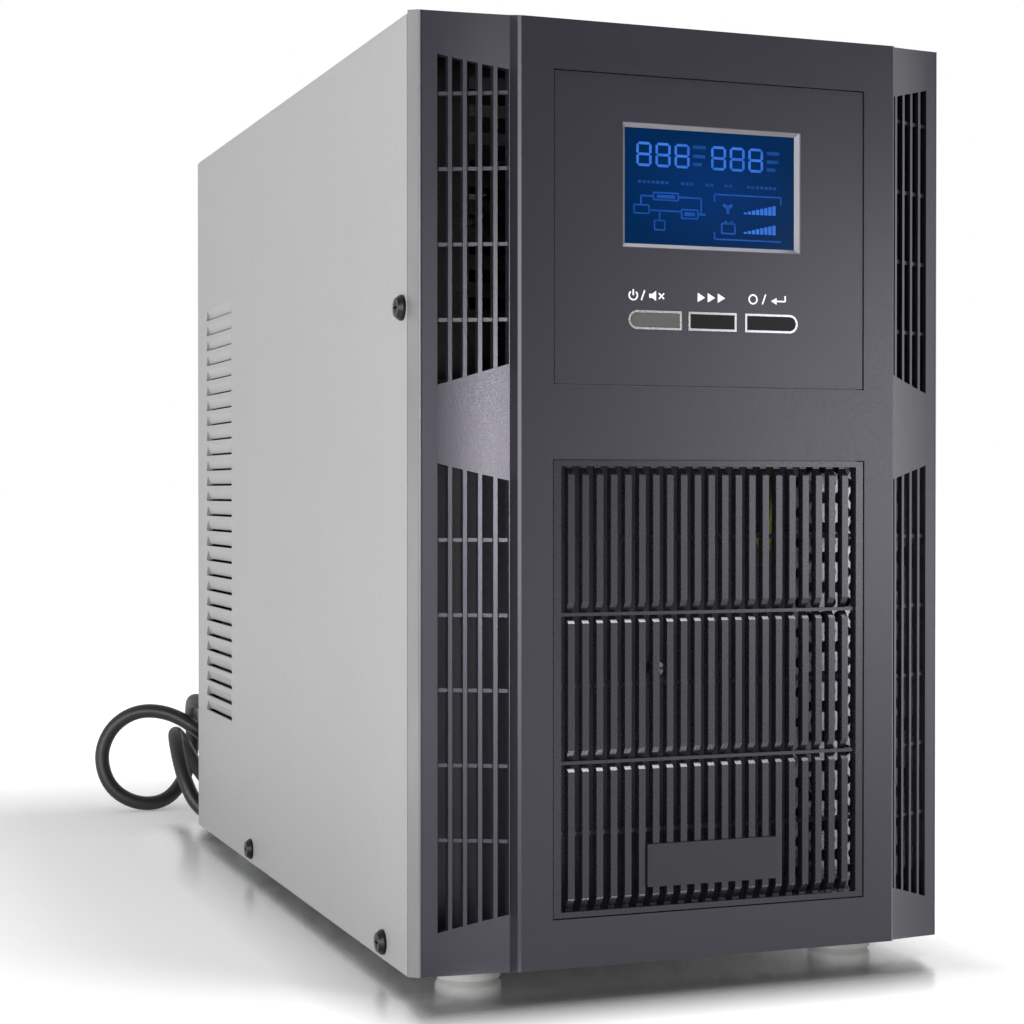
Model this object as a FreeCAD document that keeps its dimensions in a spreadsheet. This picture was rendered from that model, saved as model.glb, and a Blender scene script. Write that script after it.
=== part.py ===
"""Tower uninterruptible power supply as an assembly of separate pieces.

Millimetres, +Z up. The front faces -Y and the origin is on the floor, under the middle of the body.
"""
import FreeCAD, Part
import Sketcher
import math
import os
import re
from types import SimpleNamespace

from FreeCAD import Placement, Rotation, Vector

DIMENSIONS = {
    # whole object
    "width": 190.0, "body_height": 313.0, "foot_height": 5.0, "overall_depth": 369.0,
    "chassis_depth": 332.0, "bezel_depth": 29.4, "gauge": 1.0, "panel_gauge": 1.2,
    # front bezel: setback of its outer edges, crown of its top and bottom, cove and centre panel
    "wall": 2.5, "edge_setback": 17.7, "edge_radius": 1.2, "crown_edge": 2.3, "crown_front": 5.7,
    "cove_width": 26.4, "cove_depth": 5.5, "cove_sag_at": 14.5, "cove_sag": 12.1, "panel_bevel": 0.9,
    "cove_wall_width": 1.9,
    # slots of the coves
    "slot_start": 5.7, "slot_end": 26.2, "slot_bar": 1.15, "slot_rib": 1.2, "rib_pitch": 24.0,
    "rib_setback": 1.0, "upper_slot_top": 301.7, "upper_slot_bottom": 196.5, "upper_rib": 289.2,
    "lower_slot_top": 171.5, "lower_slot_bottom": 21.5, "lower_rib": 147.1,
    "slant_top": 5.5, "slant_bottom": 6.5,
    # display fascia, window and buttons
    "insert_gap": 0.35, "fascia_half": 55.7, "fascia_low": 196.4, "fascia_high": 296.3,
    "fascia_setback": 0.4, "fascia_flange": 3.0, "flange_gauge": 1.5,
    "window_half": 31.95, "window_low": 241.0, "window_high": 281.2, "window_bevel": 1.45,
    "window_depth": 1.7, "lens_gauge": 1.9, "lens_margin": 1.2,
    "button_height": 4.4, "button_low": 215.6, "button_travel": 0.8, "button_gap": 0.15,
    "button_length": 5.0, "stop_lip": 0.9, "stem_radius": 1.6, "trim_width": 0.75, "trim_proud": 0.2,
    "cap_proud": 0.3, "display_gap": 11.5, "board_gauge": 1.6, "module_rim": 5.0, "header_height": 4.0,
    "switch_height": 3.2,
    # lower grille
    "grille_half": 56.0, "grille_low": 26.3, "grille_high": 172.8, "grille_lip": 2.6,
    "bar_pitch": 4.93, "bar_width": 2.25, "bar_setback": 1.0, "bar_depth": 3.2, "rail_gauge": 1.1,
    "facet_top": 2.3, "facet_bottom": 3.4, "facet_depth": 2.2, "badge_half": 23.2, "badge_low": 34.8,
    "badge_high": 48.6, "badge_gauge": 1.4,
    # cover and louvres
    "cover_gap": 0.8, "bend_radius": 2.0, "louvre_start": 259.5, "louvre_length": 53.5,
    "louvre_low": 61.5, "louvre_pitch": 6.92, "louvre_height": 4.4, "louvre_depth": 2.0,
    "louvre_taper": 2.8, "louvre_gauge": 0.7, "louvre_slit": 0.9,
    # feet and screws
    "foot_radius": 11.0, "foot_inset": 25.0, "screw_head": 4.25, "screw_proud": 2.4, "screw_shank": 1.9,
    "small_head": 3.2, "hole_clearance": 0.05,
    # batteries, shelf and inside
    "battery_width": 65.0, "battery_length": 151.0, "battery_height": 94.0, "battery_left": -90.5,
    "battery_front": 5.0, "battery_floor": 8.0, "battery_gap": 3.0, "shelf_height": 204.5,
    "shelf_half": 90.0, "partition_at": 42.0, "tray_wall": 22.0, "post_height": 8.0, "bay_depth": 312.0,
    "board_half": 84.0, "sink_start": 90.0, "sink_end": 230.0, "sink_height": 62.0, "fin_gauge": 2.0,
    "fin_reach": 26.0, "can_radius": 14.0, "can_height": 44.0, "choke_radius": 17.0, "choke_tube": 8.0,
    "relay_width": 18.0, "relay_pitch": 26.0, "relay_height": 24.0,
    # fans and rear panel
    "rear_recess": 1.0, "fan_size": 80.0, "fan_depth": 25.0, "fan_spread": 43.0, "fan_height": 262.0,
    "fan_bore": 38.0, "fan_pitch": 71.5, "rotor_radius": 36.6, "hub_radius": 17.0, "guard_wire": 0.8,
    "spoke_wire": 1.1, "spoke_knee": 1.25,
    "socket_width": 30.0, "socket_height": 24.0, "socket_depth": 19.0, "socket_rim": 2.2,
    "breaker_radius": 7.5, "breaker_well": 5.0, "strut_gauge": 3.0,
    # mains lead
    "cord_radius": 3.5, "gland_x": -76.0, "gland_height": 51.0, "boot_length": 30.0,
    "coil_x": 45.0, "coil_y": 246.0, "coil_turn": 44.0,
}
LOUVRES = 27
BARS = 21
# Screws: (distance behind the bezel, height) on each side, then (x, height) on the rear panel and the door.
SIDE_SCREWS = ((5.9, 222.4), (28.0, 10.8), (223.2, 10.8))
REAR_SCREWS = ((-84, 308), (84, 308), (-88, 160), (88, 100), (-52, 12), (60, 12))
DOOR_SCREWS = ((-81, 16), (37, 16), (-81, 194), (37, 194), (-8, 103))

doc = FreeCAD.newDocument("tower_ups")
sub_parts = []


def make_sheet():
    """The spreadsheet of driving dimensions: one alias to a row."""
    sheet = doc.addObject("Spreadsheet::Sheet", "Dims")
    for row, (alias, number) in enumerate(DIMENSIONS.items(), start=1):
        sheet.set(f"A{row}", alias)
        sheet.set(f"B{row}", str(number))
        sheet.setAlias(f"B{row}", alias)
    doc.recompute()
    return SimpleNamespace(**{alias: float(getattr(sheet, alias)) for alias in DIMENSIONS})


d = make_sheet()

# Reference planes, as formulas for the sheet and as numbers for the shapes made in code.
FRONT = "(-overall_depth / 2)"
JUNCTION = f"({FRONT} + bezel_depth)"
REAR = f"({JUNCTION} + chassis_depth)"
BACK = f"({REAR} - rear_recess)"
BOTTOM = "foot_height"
TOP = "(foot_height + body_height)"
INNER = "(width / 2 - gauge)"
SCREW_HOLE = "(screw_shank + hole_clearance)"
front_y = -d.overall_depth / 2
junction_y = front_y + d.bezel_depth
rear_y = junction_y + d.chassis_depth
back_y = rear_y - d.rear_recess
top_z = d.foot_height + d.body_height
side_x = d.width / 2
hole_radius = d.screw_shank + d.hole_clearance


# ---------------------------------------------------------------- helpers

def formula(text):
    """The same formula with the sheet's name before each alias."""
    text = str(text)
    return re.sub(r"[a-z][a-z_]*", lambda m: f"Dims.{m[0]}" if m[0] in DIMENSIONS else m[0], text)


def place(obj, x, y, z):
    for axis, text in zip("xyz", (x, y, z)):
        obj.setExpression(f"Placement.Base.{axis}", formula(text))


def box(name, x, y, z):
    """A box from three (low, high) pairs of formulas."""
    obj = doc.addObject("Part::Box", name)
    for side, (low, high) in zip(("Length", "Width", "Height"), (x, y, z)):
        obj.setExpression(side, formula(f"({high}) - ({low})"))
    place(obj, x[0], y[0], z[0])
    return obj


AXIS_TURN = {
    "X": Rotation(Vector(0, 1, 0), 90),
    "Y": Rotation(Vector(1, 0, 0), -90),
    "Z": Rotation(),
    "-X": Rotation(Vector(0, 1, 0), -90),
    "-Y": Rotation(Vector(1, 0, 0), 90),
}


def cylinder(name, radius, length, x, y, z, axis="Z"):
    """A cylinder that starts at a point and runs along an axis."""
    obj = doc.addObject("Part::Cylinder", name)
    obj.setExpression("Radius", formula(radius))
    obj.setExpression("Height", formula(length))
    obj.Placement.Rotation = AXIS_TURN[axis]
    place(obj, x, y, z)
    return obj


def cone(name, radius_a, radius_b, length, x, y, z, axis="Z"):
    obj = doc.addObject("Part::Cone", name)
    obj.setExpression("Radius1", formula(radius_a))
    obj.setExpression("Radius2", formula(radius_b))
    obj.setExpression("Height", formula(length))
    obj.Placement.Rotation = AXIS_TURN[axis]
    place(obj, x, y, z)
    return obj


def torus(name, radius, tube, x, y, z, axis="Y"):
    obj = doc.addObject("Part::Torus", name)
    obj.setExpression("Radius1", formula(radius))
    obj.setExpression("Radius2", formula(tube))
    obj.Placement.Rotation = AXIS_TURN[axis]
    place(obj, x, y, z)
    return obj


def fuse(name, parts):
    obj = doc.addObject("Part::MultiFuse", name)
    obj.Shapes = parts
    return obj


def cut(name, base, tools):
    """The base with every tool taken away."""
    obj = doc.addObject("Part::Cut", name)
    obj.Base = base
    obj.Tool = tools[0] if len(tools) == 1 else fuse(f"{name}_tools", tools)
    return obj


def common(name, first, second):
    obj = doc.addObject("Part::Common", name)
    obj.Base = first
    obj.Tool = second
    return obj


def group(name, parts):
    """Separate solids that share one node."""
    obj = doc.addObject("Part::Compound", name)
    obj.Links = parts
    return obj


def shaped(name, shape):
    """A piece whose shape is worked out in code from the sheet's numbers."""
    obj = doc.addObject("Part::Feature", name)
    obj.Shape = shape
    obj.Placement = Placement()
    return obj


def sub_part(label, obj):
    """Names a finished piece and lists it for export."""
    obj.Label = label
    sub_parts.append(obj)
    return obj


def face_of(points):
    """A flat face inside a closed outline of straight sides."""
    corners = [Vector(*p) for p in points]
    return Part.Face(Part.makePolygon(corners + corners[:1]))


def arc(a, b, c):
    return Part.Arc(Vector(*a), Vector(*b), Vector(*c)).toShape()


def line(a, b):
    return Part.LineSegment(Vector(*a), Vector(*b)).toShape()


# ---------------------------------------------------------------- front bezel

def bezel_block(inset):
    """The bezel's outside as a full block, moved inwards by the inset on every outer face."""
    depth_back = d.bezel_depth
    wall_x = d.cove_width + d.cove_wall_width
    flat = []
    for hand in (-1, 1):
        def at(s, y):
            return (hand * (side_x - s), front_y + y, 0)
        side = inset
        edge_y = d.edge_setback + inset
        corner_in = (1 - math.sqrt(0.5)) * d.edge_radius
        cove_start = at(side + d.edge_radius, edge_y)
        cove_end = at(d.cove_width + inset, d.cove_depth + inset)
        flat.append([
            line(at(side, depth_back), at(side, edge_y + d.edge_radius)),
            arc(at(side, edge_y + d.edge_radius), at(side + corner_in, edge_y + corner_in), cove_start),
            arc(cove_start, at(d.cove_sag_at, d.cove_sag + inset), cove_end),
            line(cove_end, at(wall_x - d.panel_bevel + inset, d.panel_bevel + inset)),
            line(at(wall_x - d.panel_bevel + inset, d.panel_bevel + inset), at(wall_x + inset, inset)),
        ])
    left, right = flat
    wall_left = (-(side_x - wall_x - inset), front_y + inset, 0)
    wall_right = (side_x - wall_x - inset, front_y + inset, 0)
    back_left = (-(side_x - inset), front_y + depth_back, 0)
    back_right = (side_x - inset, front_y + depth_back, 0)
    plan = Part.Wire(left + [line(wall_left, wall_right)] + right[::-1] + [line(back_right, back_left)])
    block = Part.Face(plan).extrude(Vector(0, 0, top_z + d.foot_height))

    def rail(sign, level):
        points = [(-side_x, front_y + d.bezel_depth, level),
                  (-side_x, front_y + d.edge_setback, level - sign * d.crown_edge),
                  (-side_x, front_y, level - sign * d.crown_front)]
        return points, arc(*points)

    top_points, top_arc = rail(1, top_z - inset)
    low_points, low_arc = rail(-1, d.foot_height + inset)
    elevation = Part.Wire([top_arc, line(top_points[2], low_points[2]), low_arc,
                           line(low_points[0], top_points[0])])
    return block.common(Part.Face(elevation).extrude(Vector(d.width, 0, 0)))


def cove_slot_tools():
    """Prisms for the upright slots of both coves, with slanted tops and bottoms."""
    count = 5
    opening = (d.slot_end - d.slot_start - (count - 1) * d.slot_bar) / count
    groups = [(d.upper_slot_bottom, d.upper_slot_top), (d.lower_slot_bottom, d.lower_slot_top)]
    span = d.slot_end - d.slot_start
    prisms = []
    for hand in (-1, 1):
        for low, high in groups:
            for k in range(count):
                s_a = d.slot_start + k * (opening + d.slot_bar)
                s_b = s_a + opening
                outline = []
                for s, level, slant in ((s_a, low, d.slant_bottom), (s_b, low, d.slant_bottom),
                                        (s_b, high, -d.slant_top), (s_a, high, -d.slant_top)):
                    rise = slant * (s - d.slot_start) / span
                    outline.append((hand * (side_x - s), front_y, level + rise))
                prisms.append(face_of(outline).extrude(Vector(0, d.bezel_depth, 0)))
    return prisms


def cove_rib_slabs():
    """Level slabs where a rib crosses behind the cove's bars."""
    levels = [d.upper_rib - k * d.rib_pitch for k in range(4)]
    levels += [d.lower_rib - k * d.rib_pitch for k in range(5)]
    return [Part.makeBox(d.width, d.bezel_depth, d.slot_rib,
                         Vector(-side_x, front_y, level - d.slot_rib / 2)) for level in levels]


def front_bezel():
    shell = bezel_block(0).cut(bezel_block(d.wall))
    ribs = Part.makeCompound(cove_rib_slabs()).common(bezel_block(d.rib_setback))
    slots = Part.makeCompound([prism.cut(ribs) for prism in cove_slot_tools()])
    openings = [
        Part.makeBox(2 * d.fascia_half, 2 * d.wall, d.fascia_high - d.fascia_low,
                     Vector(-d.fascia_half, front_y - d.wall / 2, d.fascia_low)),
        Part.makeBox(2 * d.grille_half, 2 * d.wall, d.grille_high - d.grille_low,
                     Vector(-d.grille_half, front_y - d.wall / 2, d.grille_low)),
    ]
    shell = shell.cut(slots).cut(Part.makeCompound(openings))
    sub_part("front_bezel", shaped("bezel_shape", shell.removeSplitter()))


# ---------------------------------------------------------------- display and buttons

LENS_HALF = "(window_half - window_bevel + lens_margin)"
LENS_LOW = "(window_low + window_bevel - lens_margin)"
LENS_HIGH = "(window_high - window_bevel + lens_margin)"

BUTTONS = {
    # node: low x, high x, which end is round
    "on_button": (-29.1, -12.0, "low"),
    "select_button": (-7.9, 7.7, None),
    "off_button": (12.5, 30.1, "high"),
}


def button_blank(name, node, grow, y):
    """A bar with square ends, or one end a half circle, grown by the same amount all round."""
    low, high, round_end = BUTTONS[node]
    radius = f"(button_height / 2 + {grow})"
    middle = "(button_low + button_height / 2)"
    x_low = f"({low} - {grow})" if round_end != "low" else f"({low} + button_height / 2)"
    x_high = f"({high} + {grow})" if round_end != "high" else f"({high} - button_height / 2)"
    bar = box(f"{name}_bar", (x_low, x_high), y, (f"{middle} - {radius}", f"{middle} + {radius}"))
    if round_end is None:
        return bar
    end_x = x_low if round_end == "low" else x_high
    end = cylinder(f"{name}_end", radius, f"({y[1]}) - ({y[0]})", end_x, y[0], middle, "Y")
    return fuse(name, [bar, end])


def display_fascia():
    face_y = f"({FRONT} + fascia_setback)"
    flange_y = f"({FRONT} + wall)"
    back = f"({flange_y} + flange_gauge)"
    half = "(fascia_half - insert_gap)"
    plate = box("fascia_plate", (f"-{half}", half), (face_y, back),
                ("fascia_low + insert_gap", "fascia_high - insert_gap"))
    flange = box("fascia_rim", (f"-{half} - fascia_flange", f"{half} + fascia_flange"), (flange_y, back),
                 ("fascia_low - fascia_flange", "fascia_high + fascia_flange"))
    bevel = doc.addObject("Part::Wedge", "window_bevel_cut")
    bounds = {"Xmin": "-window_half", "Xmax": "window_half", "Zmin": "window_low", "Zmax": "window_high",
              "X2min": "-window_half + window_bevel", "X2max": "window_half - window_bevel",
              "Z2min": "window_low + window_bevel", "Z2max": "window_high - window_bevel",
              "Ymin": face_y, "Ymax": f"{face_y} + window_depth"}
    for name, text in bounds.items():
        bevel.setExpression(name, formula(text))
    lens_hole = box("lens_hole", (f"-{LENS_HALF}", LENS_HALF), (f"{face_y} + window_depth", f"{back} + 1"),
                    (LENS_LOW, LENS_HIGH))
    holes = [button_blank(f"{node}_hole", node, "(trim_width + button_gap)", (f"{face_y} - 1", f"{back} + 1"))
             for node in BUTTONS]
    blank = fuse("fascia_blank", [plate, flange])
    sub_part("display_fascia", cut("fascia", blank, [bevel, lens_hole] + holes))


def lcd():
    lens_y = f"({FRONT} + fascia_setback + window_depth)"
    module_y = f"({lens_y} + lens_gauge)"
    glass = box("lens", (f"-{LENS_HALF}", LENS_HALF), (lens_y, module_y), (LENS_LOW, LENS_HIGH))
    sub_part("lcd_window", glass)
    module_back = f"({module_y} + module_rim)"
    board_y = f"({FRONT} + display_gap)"
    body = box("module_body", ("-window_half - module_rim", "window_half + module_rim"),
               (module_y, module_back), ("window_low - module_rim", "window_high + module_rim"))
    header = box("module_header", ("-22", "22"), (module_back, board_y),
                 ("window_high", "window_high + header_height"))
    sub_part("lcd_module", fuse("module", [body, header]))
    board = box("board_plate", ("-fascia_half + header_height", "fascia_half - header_height"),
                (board_y, f"{board_y} + board_gauge"), ("fascia_low + 2", "fascia_high - 2"))
    switches = []
    for node, (low, high, _) in BUTTONS.items():
        middle = (low + high) / 2
        switches.append(box(f"{node}_switch", (f"{middle} - 3", f"{middle} + 3"),
                            (f"{board_y} - switch_height", board_y),
                            ("button_low", "button_low + button_height")))
    sub_part("display_board", fuse("board", [board] + switches))


def buttons():
    """Bright rings fixed in the fascia, and a cap with its stop and stem behind each ring."""
    face_y = f"({FRONT} + fascia_setback)"
    flange_back = f"({FRONT} + wall + flange_gauge)"
    cap_back = f"({FRONT} + button_length)"
    trims = []
    for node, (low, high, _) in BUTTONS.items():
        ring_y = (f"{face_y} - trim_proud", flange_back)
        outer = button_blank(f"{node}_ring", node, "(trim_width + button_gap - hole_clearance)", ring_y)
        inner = button_blank(f"{node}_ring_hole", node, "button_gap", (f"{face_y} - 1", f"{flange_back} + 1"))
        trims.append(cut(f"{node}_trim", outer, [inner]))
        cap = button_blank(f"{node}_cap", node, "0", (f"{face_y} - cap_proud", cap_back))
        stop = button_blank(f"{node}_stop", node, "stop_lip", (f"{flange_back} + 0.1", f"{cap_back} + 0.2"))
        stem = cylinder(f"{node}_stem", "stem_radius",
                        "display_gap - switch_height - 0.1 - button_travel - button_length + 0.2",
                        (low + high) / 2, f"{cap_back} - 0.2", "button_low + button_height / 2", "Y")
        sub_part(node, fuse(f"{node}_body", [cap, stop, stem]))
    sub_part("button_trims", group("trims", trims))


# ---------------------------------------------------------------- lower grille

GRILLE_ROWS = 3
BAR_ROOT = 0.8     # how far the bars run into the frame
BADGE_SINK = 0.4   # how far the badge sits in the bars
CLIP_LIP = 3.0     # rim behind the bezel that holds the grille


def grille_row_levels():
    """Heights of the grille's inside bottom, two rails and inside top."""
    low = d.grille_low + d.insert_gap + d.grille_lip - BAR_ROOT
    high = d.grille_high - d.insert_gap - d.grille_lip + BAR_ROOT
    return [low + k * (high - low) / GRILLE_ROWS for k in range(GRILLE_ROWS + 1)]


def bar_profile(x):
    """Side outline of one upright bar: three crests with sloping ends, joined low behind the rails."""
    levels = grille_row_levels()
    crest = front_y + d.bar_setback
    valley = crest + d.facet_depth
    back = crest + d.bar_depth
    points = [(x, back, levels[0])]
    for low, high in zip(levels, levels[1:]):
        points += [(x, valley, low), (x, valley, low + d.rail_gauge / 2),
                   (x, crest, low + d.rail_gauge / 2 + d.facet_bottom),
                   (x, crest, high - d.rail_gauge / 2 - d.facet_top), (x, valley, high - d.rail_gauge / 2)]
    points += [(x, valley, levels[-1]), (x, back, levels[-1])]
    return points


def front_grille():
    levels = grille_row_levels()
    half = d.grille_half - d.insert_gap
    low = d.grille_low + d.insert_gap
    high = d.grille_high - d.insert_gap
    rim_y = front_y + d.fascia_setback
    depth = d.bar_setback + d.bar_depth - d.fascia_setback
    outer = Part.makeBox(2 * half, depth, high - low, Vector(-half, rim_y, low))
    hole = Part.makeBox(2 * (half - d.grille_lip), depth + 2, levels[-1] - levels[0],
                        Vector(-half + d.grille_lip, rim_y - 1, levels[0]))
    flange = Part.makeBox(2 * (half + CLIP_LIP), d.flange_gauge, high - low + 2 * CLIP_LIP,
                          Vector(-half - CLIP_LIP, front_y + d.wall, low - CLIP_LIP))
    pieces = [outer.fuse(flange).cut(hole)]
    for k in range(BARS):
        x = (k - (BARS - 1) / 2) * d.bar_pitch - d.bar_width / 2
        pieces.append(face_of(bar_profile(x)).extrude(Vector(d.bar_width, 0, 0)))
    inside = 2 * (half - d.grille_lip)
    crest = front_y + d.bar_setback
    rail_setback = 0.6
    for level in levels[1:-1]:
        pieces.append(Part.makeBox(inside, d.bar_depth - rail_setback, d.rail_gauge,
                                   Vector(-inside / 2, crest + rail_setback, level - d.rail_gauge / 2)))
    tie_depth, tie_height = 1.4, 1.5
    for below, above in zip(levels, levels[1:]):
        corner = Vector(-inside / 2, crest + d.bar_depth - 0.5, (below + above) / 2)
        pieces.append(Part.makeBox(inside, tie_depth, tie_height, corner))
    boss = Part.makeBox(2 * d.badge_half - 1, d.bar_depth - BADGE_SINK, d.badge_high - d.badge_low - 1,
                        Vector(-d.badge_half + 0.5, crest + BADGE_SINK, d.badge_low + 0.5))
    solid = pieces[0].multiFuse(pieces[1:] + [boss])
    plate_room = Part.makeBox(2 * d.badge_half, d.badge_gauge, d.badge_high - d.badge_low,
                              Vector(-d.badge_half, crest - d.badge_gauge + BADGE_SINK, d.badge_low))
    sub_part("front_grille", shaped("grille_shape", solid.cut(plate_room).removeSplitter()))
    badge_back = f"({FRONT} + bar_setback + {BADGE_SINK})"
    sub_part("badge_plate", box("badge", ("-badge_half", "badge_half"),
                                (f"{badge_back} - badge_gauge", badge_back), ("badge_low", "badge_high")))


# ---------------------------------------------------------------- sheet metal

def outer_cover():
    """Two sides and a top in one folded sheet, with a column of pressed-in louvres each side."""
    start = junction_y + d.cover_gap
    length = rear_y - start
    outer = Part.makeBox(d.width, length, d.body_height, Vector(-side_x, start, d.foot_height))
    bends = [e for e in outer.Edges if abs(e.CenterOfMass.z - top_z) < 0.01
             and abs(abs(e.CenterOfMass.x) - side_x) < 0.01]
    outer = outer.makeFillet(d.bend_radius, bends)
    inner = Part.makeBox(d.width - 2 * d.gauge, length + 2, d.body_height,
                         Vector(-side_x + d.gauge, start - 1, d.foot_height - d.gauge))
    sheet = outer.cut(inner)
    hoods, dents = [], []
    for hand in (-1, 1):
        for k in range(LOUVRES):
            low = d.louvre_low + k * d.louvre_pitch
            hood, dent = louvre(hand, low)
            hoods.append(hood)
            dents.append(dent)
    for behind, z in SIDE_SCREWS:
        start = Vector(-side_x - 1, junction_y + behind, z)
        dents.append(Part.makeCylinder(hole_radius, d.width + 2, start, Vector(1, 0, 0)))
    sheet = sheet.multiFuse(hoods).cut(Part.makeCompound(dents))
    sub_part("outer_cover", shaped("cover_shape", sheet.removeSplitter()))


def louvre_prism(hand, low, drop, extra):
    """A tapered wedge that starts at the sheet's outer face along its top and leans inwards."""
    start = junction_y + d.louvre_start
    end = start + d.louvre_length
    outer_x = hand * side_x
    inner_x = hand * (side_x - d.louvre_depth - extra)
    high = low + d.louvre_height
    top_edge = [(outer_x, start + d.louvre_taper - extra, high + drop),
                (outer_x, end - d.louvre_taper + extra, high + drop)]
    low_outer = [(outer_x, start - extra, low), (outer_x, end + extra, low)]
    low_inner = [(inner_x, start - extra, low), (inner_x, end + extra, low)]
    faces = [face_of([top_edge[0], top_edge[1], low_outer[1], low_outer[0]]),
             face_of([top_edge[0], top_edge[1], low_inner[1], low_inner[0]]),
             face_of([low_outer[0], low_outer[1], low_inner[1], low_inner[0]]),
             face_of([top_edge[0], low_outer[0], low_inner[0]]),
             face_of([top_edge[1], low_outer[1], low_inner[1]])]
    solid = Part.Solid(Part.Shell(faces))
    return solid if solid.Volume > 0 else solid.reversed()


def louvre(hand, low):
    """One louvre: the pressed skin, and the dent with its slit that is taken out of it."""
    hood = louvre_prism(hand, low, d.louvre_gauge, d.louvre_gauge)
    dent = louvre_prism(hand, low, 0, 0)
    slit_x = side_x - d.louvre_depth - d.louvre_gauge - 1
    slit = Part.makeBox(d.louvre_depth + d.louvre_gauge + 1, d.louvre_length - 2, d.louvre_slit,
                        Vector(slit_x if hand > 0 else -side_x, junction_y + d.louvre_start + 1, low - 0.3))
    return hood, dent.fuse(slit)


def base_tray():
    """The floor of the chassis, with a low wall on each side that the cover's screws go into."""
    start = f"({JUNCTION} + gauge)"
    wall_y = (start, f"{BACK} - panel_gauge")
    wall_z = (BOTTOM, f"{BOTTOM} + tray_wall")
    floor = box("tray_floor", (f"-{INNER}", INNER), (start, REAR), (BOTTOM, f"{BOTTOM} + panel_gauge"))
    left = box("tray_left", (f"-{INNER}", f"-{INNER} + panel_gauge"), wall_y, wall_z)
    right = box("tray_right", (f"{INNER} - panel_gauge", INNER), wall_y, wall_z)
    holes = [cylinder(f"tray_hole_{k}", SCREW_HOLE, "width", "-width / 2", f"{JUNCTION} + {behind}", z, "X")
             for k, (behind, z) in enumerate(SIDE_SCREWS)]
    sub_part("base_tray", cut("tray", fuse("tray_blank", [floor, left, right]), holes))


SHELF_POSTS = ((-76, 30), (76, 30), (-76, 270), (76, 270))


def mid_shelf():
    """The plate over the batteries, with a front lip and the posts of the main board."""
    start = f"({JUNCTION} + gauge)"
    width = ("-shelf_half", "shelf_half")
    plate = box("shelf_plate", width, (start, f"{BACK} - panel_gauge - 27"),
                ("shelf_height", "shelf_height + gauge"))
    lip = box("shelf_lip", width, (start, f"{start} + gauge"), ("shelf_height", "shelf_height + 8"))
    posts = [cylinder(f"shelf_post_{k}", 3, "post_height", x, f"{JUNCTION} + {y}", "shelf_height + gauge")
             for k, (x, y) in enumerate(SHELF_POSTS)]
    sub_part("mid_shelf", fuse("shelf", [plate, lip] + posts))


PARTITION_SLOTS = 7
SLOT_PITCH = 40
SLOT_LENGTH = 25


def battery_partition():
    """An upright sheet beside the batteries with a row of air slots."""
    plate = box("partition_wall", ("partition_at", "partition_at + gauge"),
                (f"{JUNCTION} + gauge + 0.5", f"{BACK} - panel_gauge - 22"),
                (f"{BOTTOM} + panel_gauge + 0.1", "shelf_height"))
    slots = []
    for k in range(PARTITION_SLOTS):
        start = f"({JUNCTION} + {20 + SLOT_PITCH * k})"
        slots.append(box(f"partition_slot_{k}", ("partition_at - 1", "partition_at + gauge + 1"),
                         (start, f"{start} + {SLOT_LENGTH}"), ("120", "170")))
    sub_part("battery_partition", cut("partition", plate, slots))


def battery_tray():
    """A floor under the batteries that turns up behind them."""
    width = ("battery_left", "partition_at - 0.6")
    end = f"({JUNCTION} + bay_depth)"
    floor = box("bracket_floor", width, (f"{JUNCTION} + gauge + 0.5", end),
                ("battery_floor - gauge", "battery_floor"))
    stop = box("bracket_stop", width, (f"{end} - gauge", end),
               ("battery_floor - gauge", "battery_floor + 30"))
    sub_part("battery_tray", fuse("bracket", [floor, stop]))


AIR_RADIUS = 2.0
AIR_PITCH = 6.0
AIR_ROWS = 34
AIR_COLUMNS = 7
AIR_SLOTS = 9
THROUGH = 3.0      # length of a cutter that passes a thin sheet


def front_plate():
    """The zinc plate that closes the chassis: a battery opening, air holes and air slots."""
    behind = junction_y - 1
    plate = Part.makeBox(d.width - 2 * d.gauge - 0.2, d.gauge, d.body_height - 4,
                         Vector(-side_x + d.gauge + 0.1, junction_y, d.foot_height + 2))
    tools = [Part.makeBox(120, THROUGH, 182, Vector(-82, behind, 14))]
    along = Vector(0, 1, 0)
    for row in range(AIR_ROWS):
        z = 20 + row * AIR_PITCH * math.sqrt(3) / 2
        for column in range(AIR_COLUMNS):
            x = 47.5 + (column + 0.5 * (row % 2)) * AIR_PITCH
            tools.append(Part.makeCylinder(AIR_RADIUS, THROUGH, Vector(x, behind, z), along))
    slot_width, slot_height, slot_pitch = 64, 4, 9
    for row in range(AIR_SLOTS):
        for middle in (-42, 42):
            corner = Vector(middle - slot_width / 2, behind, 222 + row * slot_pitch)
            tools.append(Part.makeBox(slot_width, THROUGH, slot_height, corner))
    for x, z in DOOR_SCREWS:
        tools.append(Part.makeCylinder(hole_radius, THROUGH, Vector(x, behind, z), along))
    sub_part("front_plate", shaped("plate_shape", plate.cut(Part.makeCompound(tools))))


def battery_door():
    """The door over the battery opening, with a pull along its top."""
    door = box("door_plate", ("-86", "41"), (f"{JUNCTION} - gauge", JUNCTION), ("11", "199"))
    pull = box("door_pull", ("-40", "0"), (f"{JUNCTION} - 7", JUNCTION), ("176", "178"))
    holes = [cylinder(f"door_hole_{k}", SCREW_HOLE, 4, x, f"{JUNCTION} - 2", z, "Y")
             for k, (x, z) in enumerate(DOOR_SCREWS)]
    sub_part("battery_door", cut("door", fuse("door_blank", [door, pull]), holes))


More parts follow.
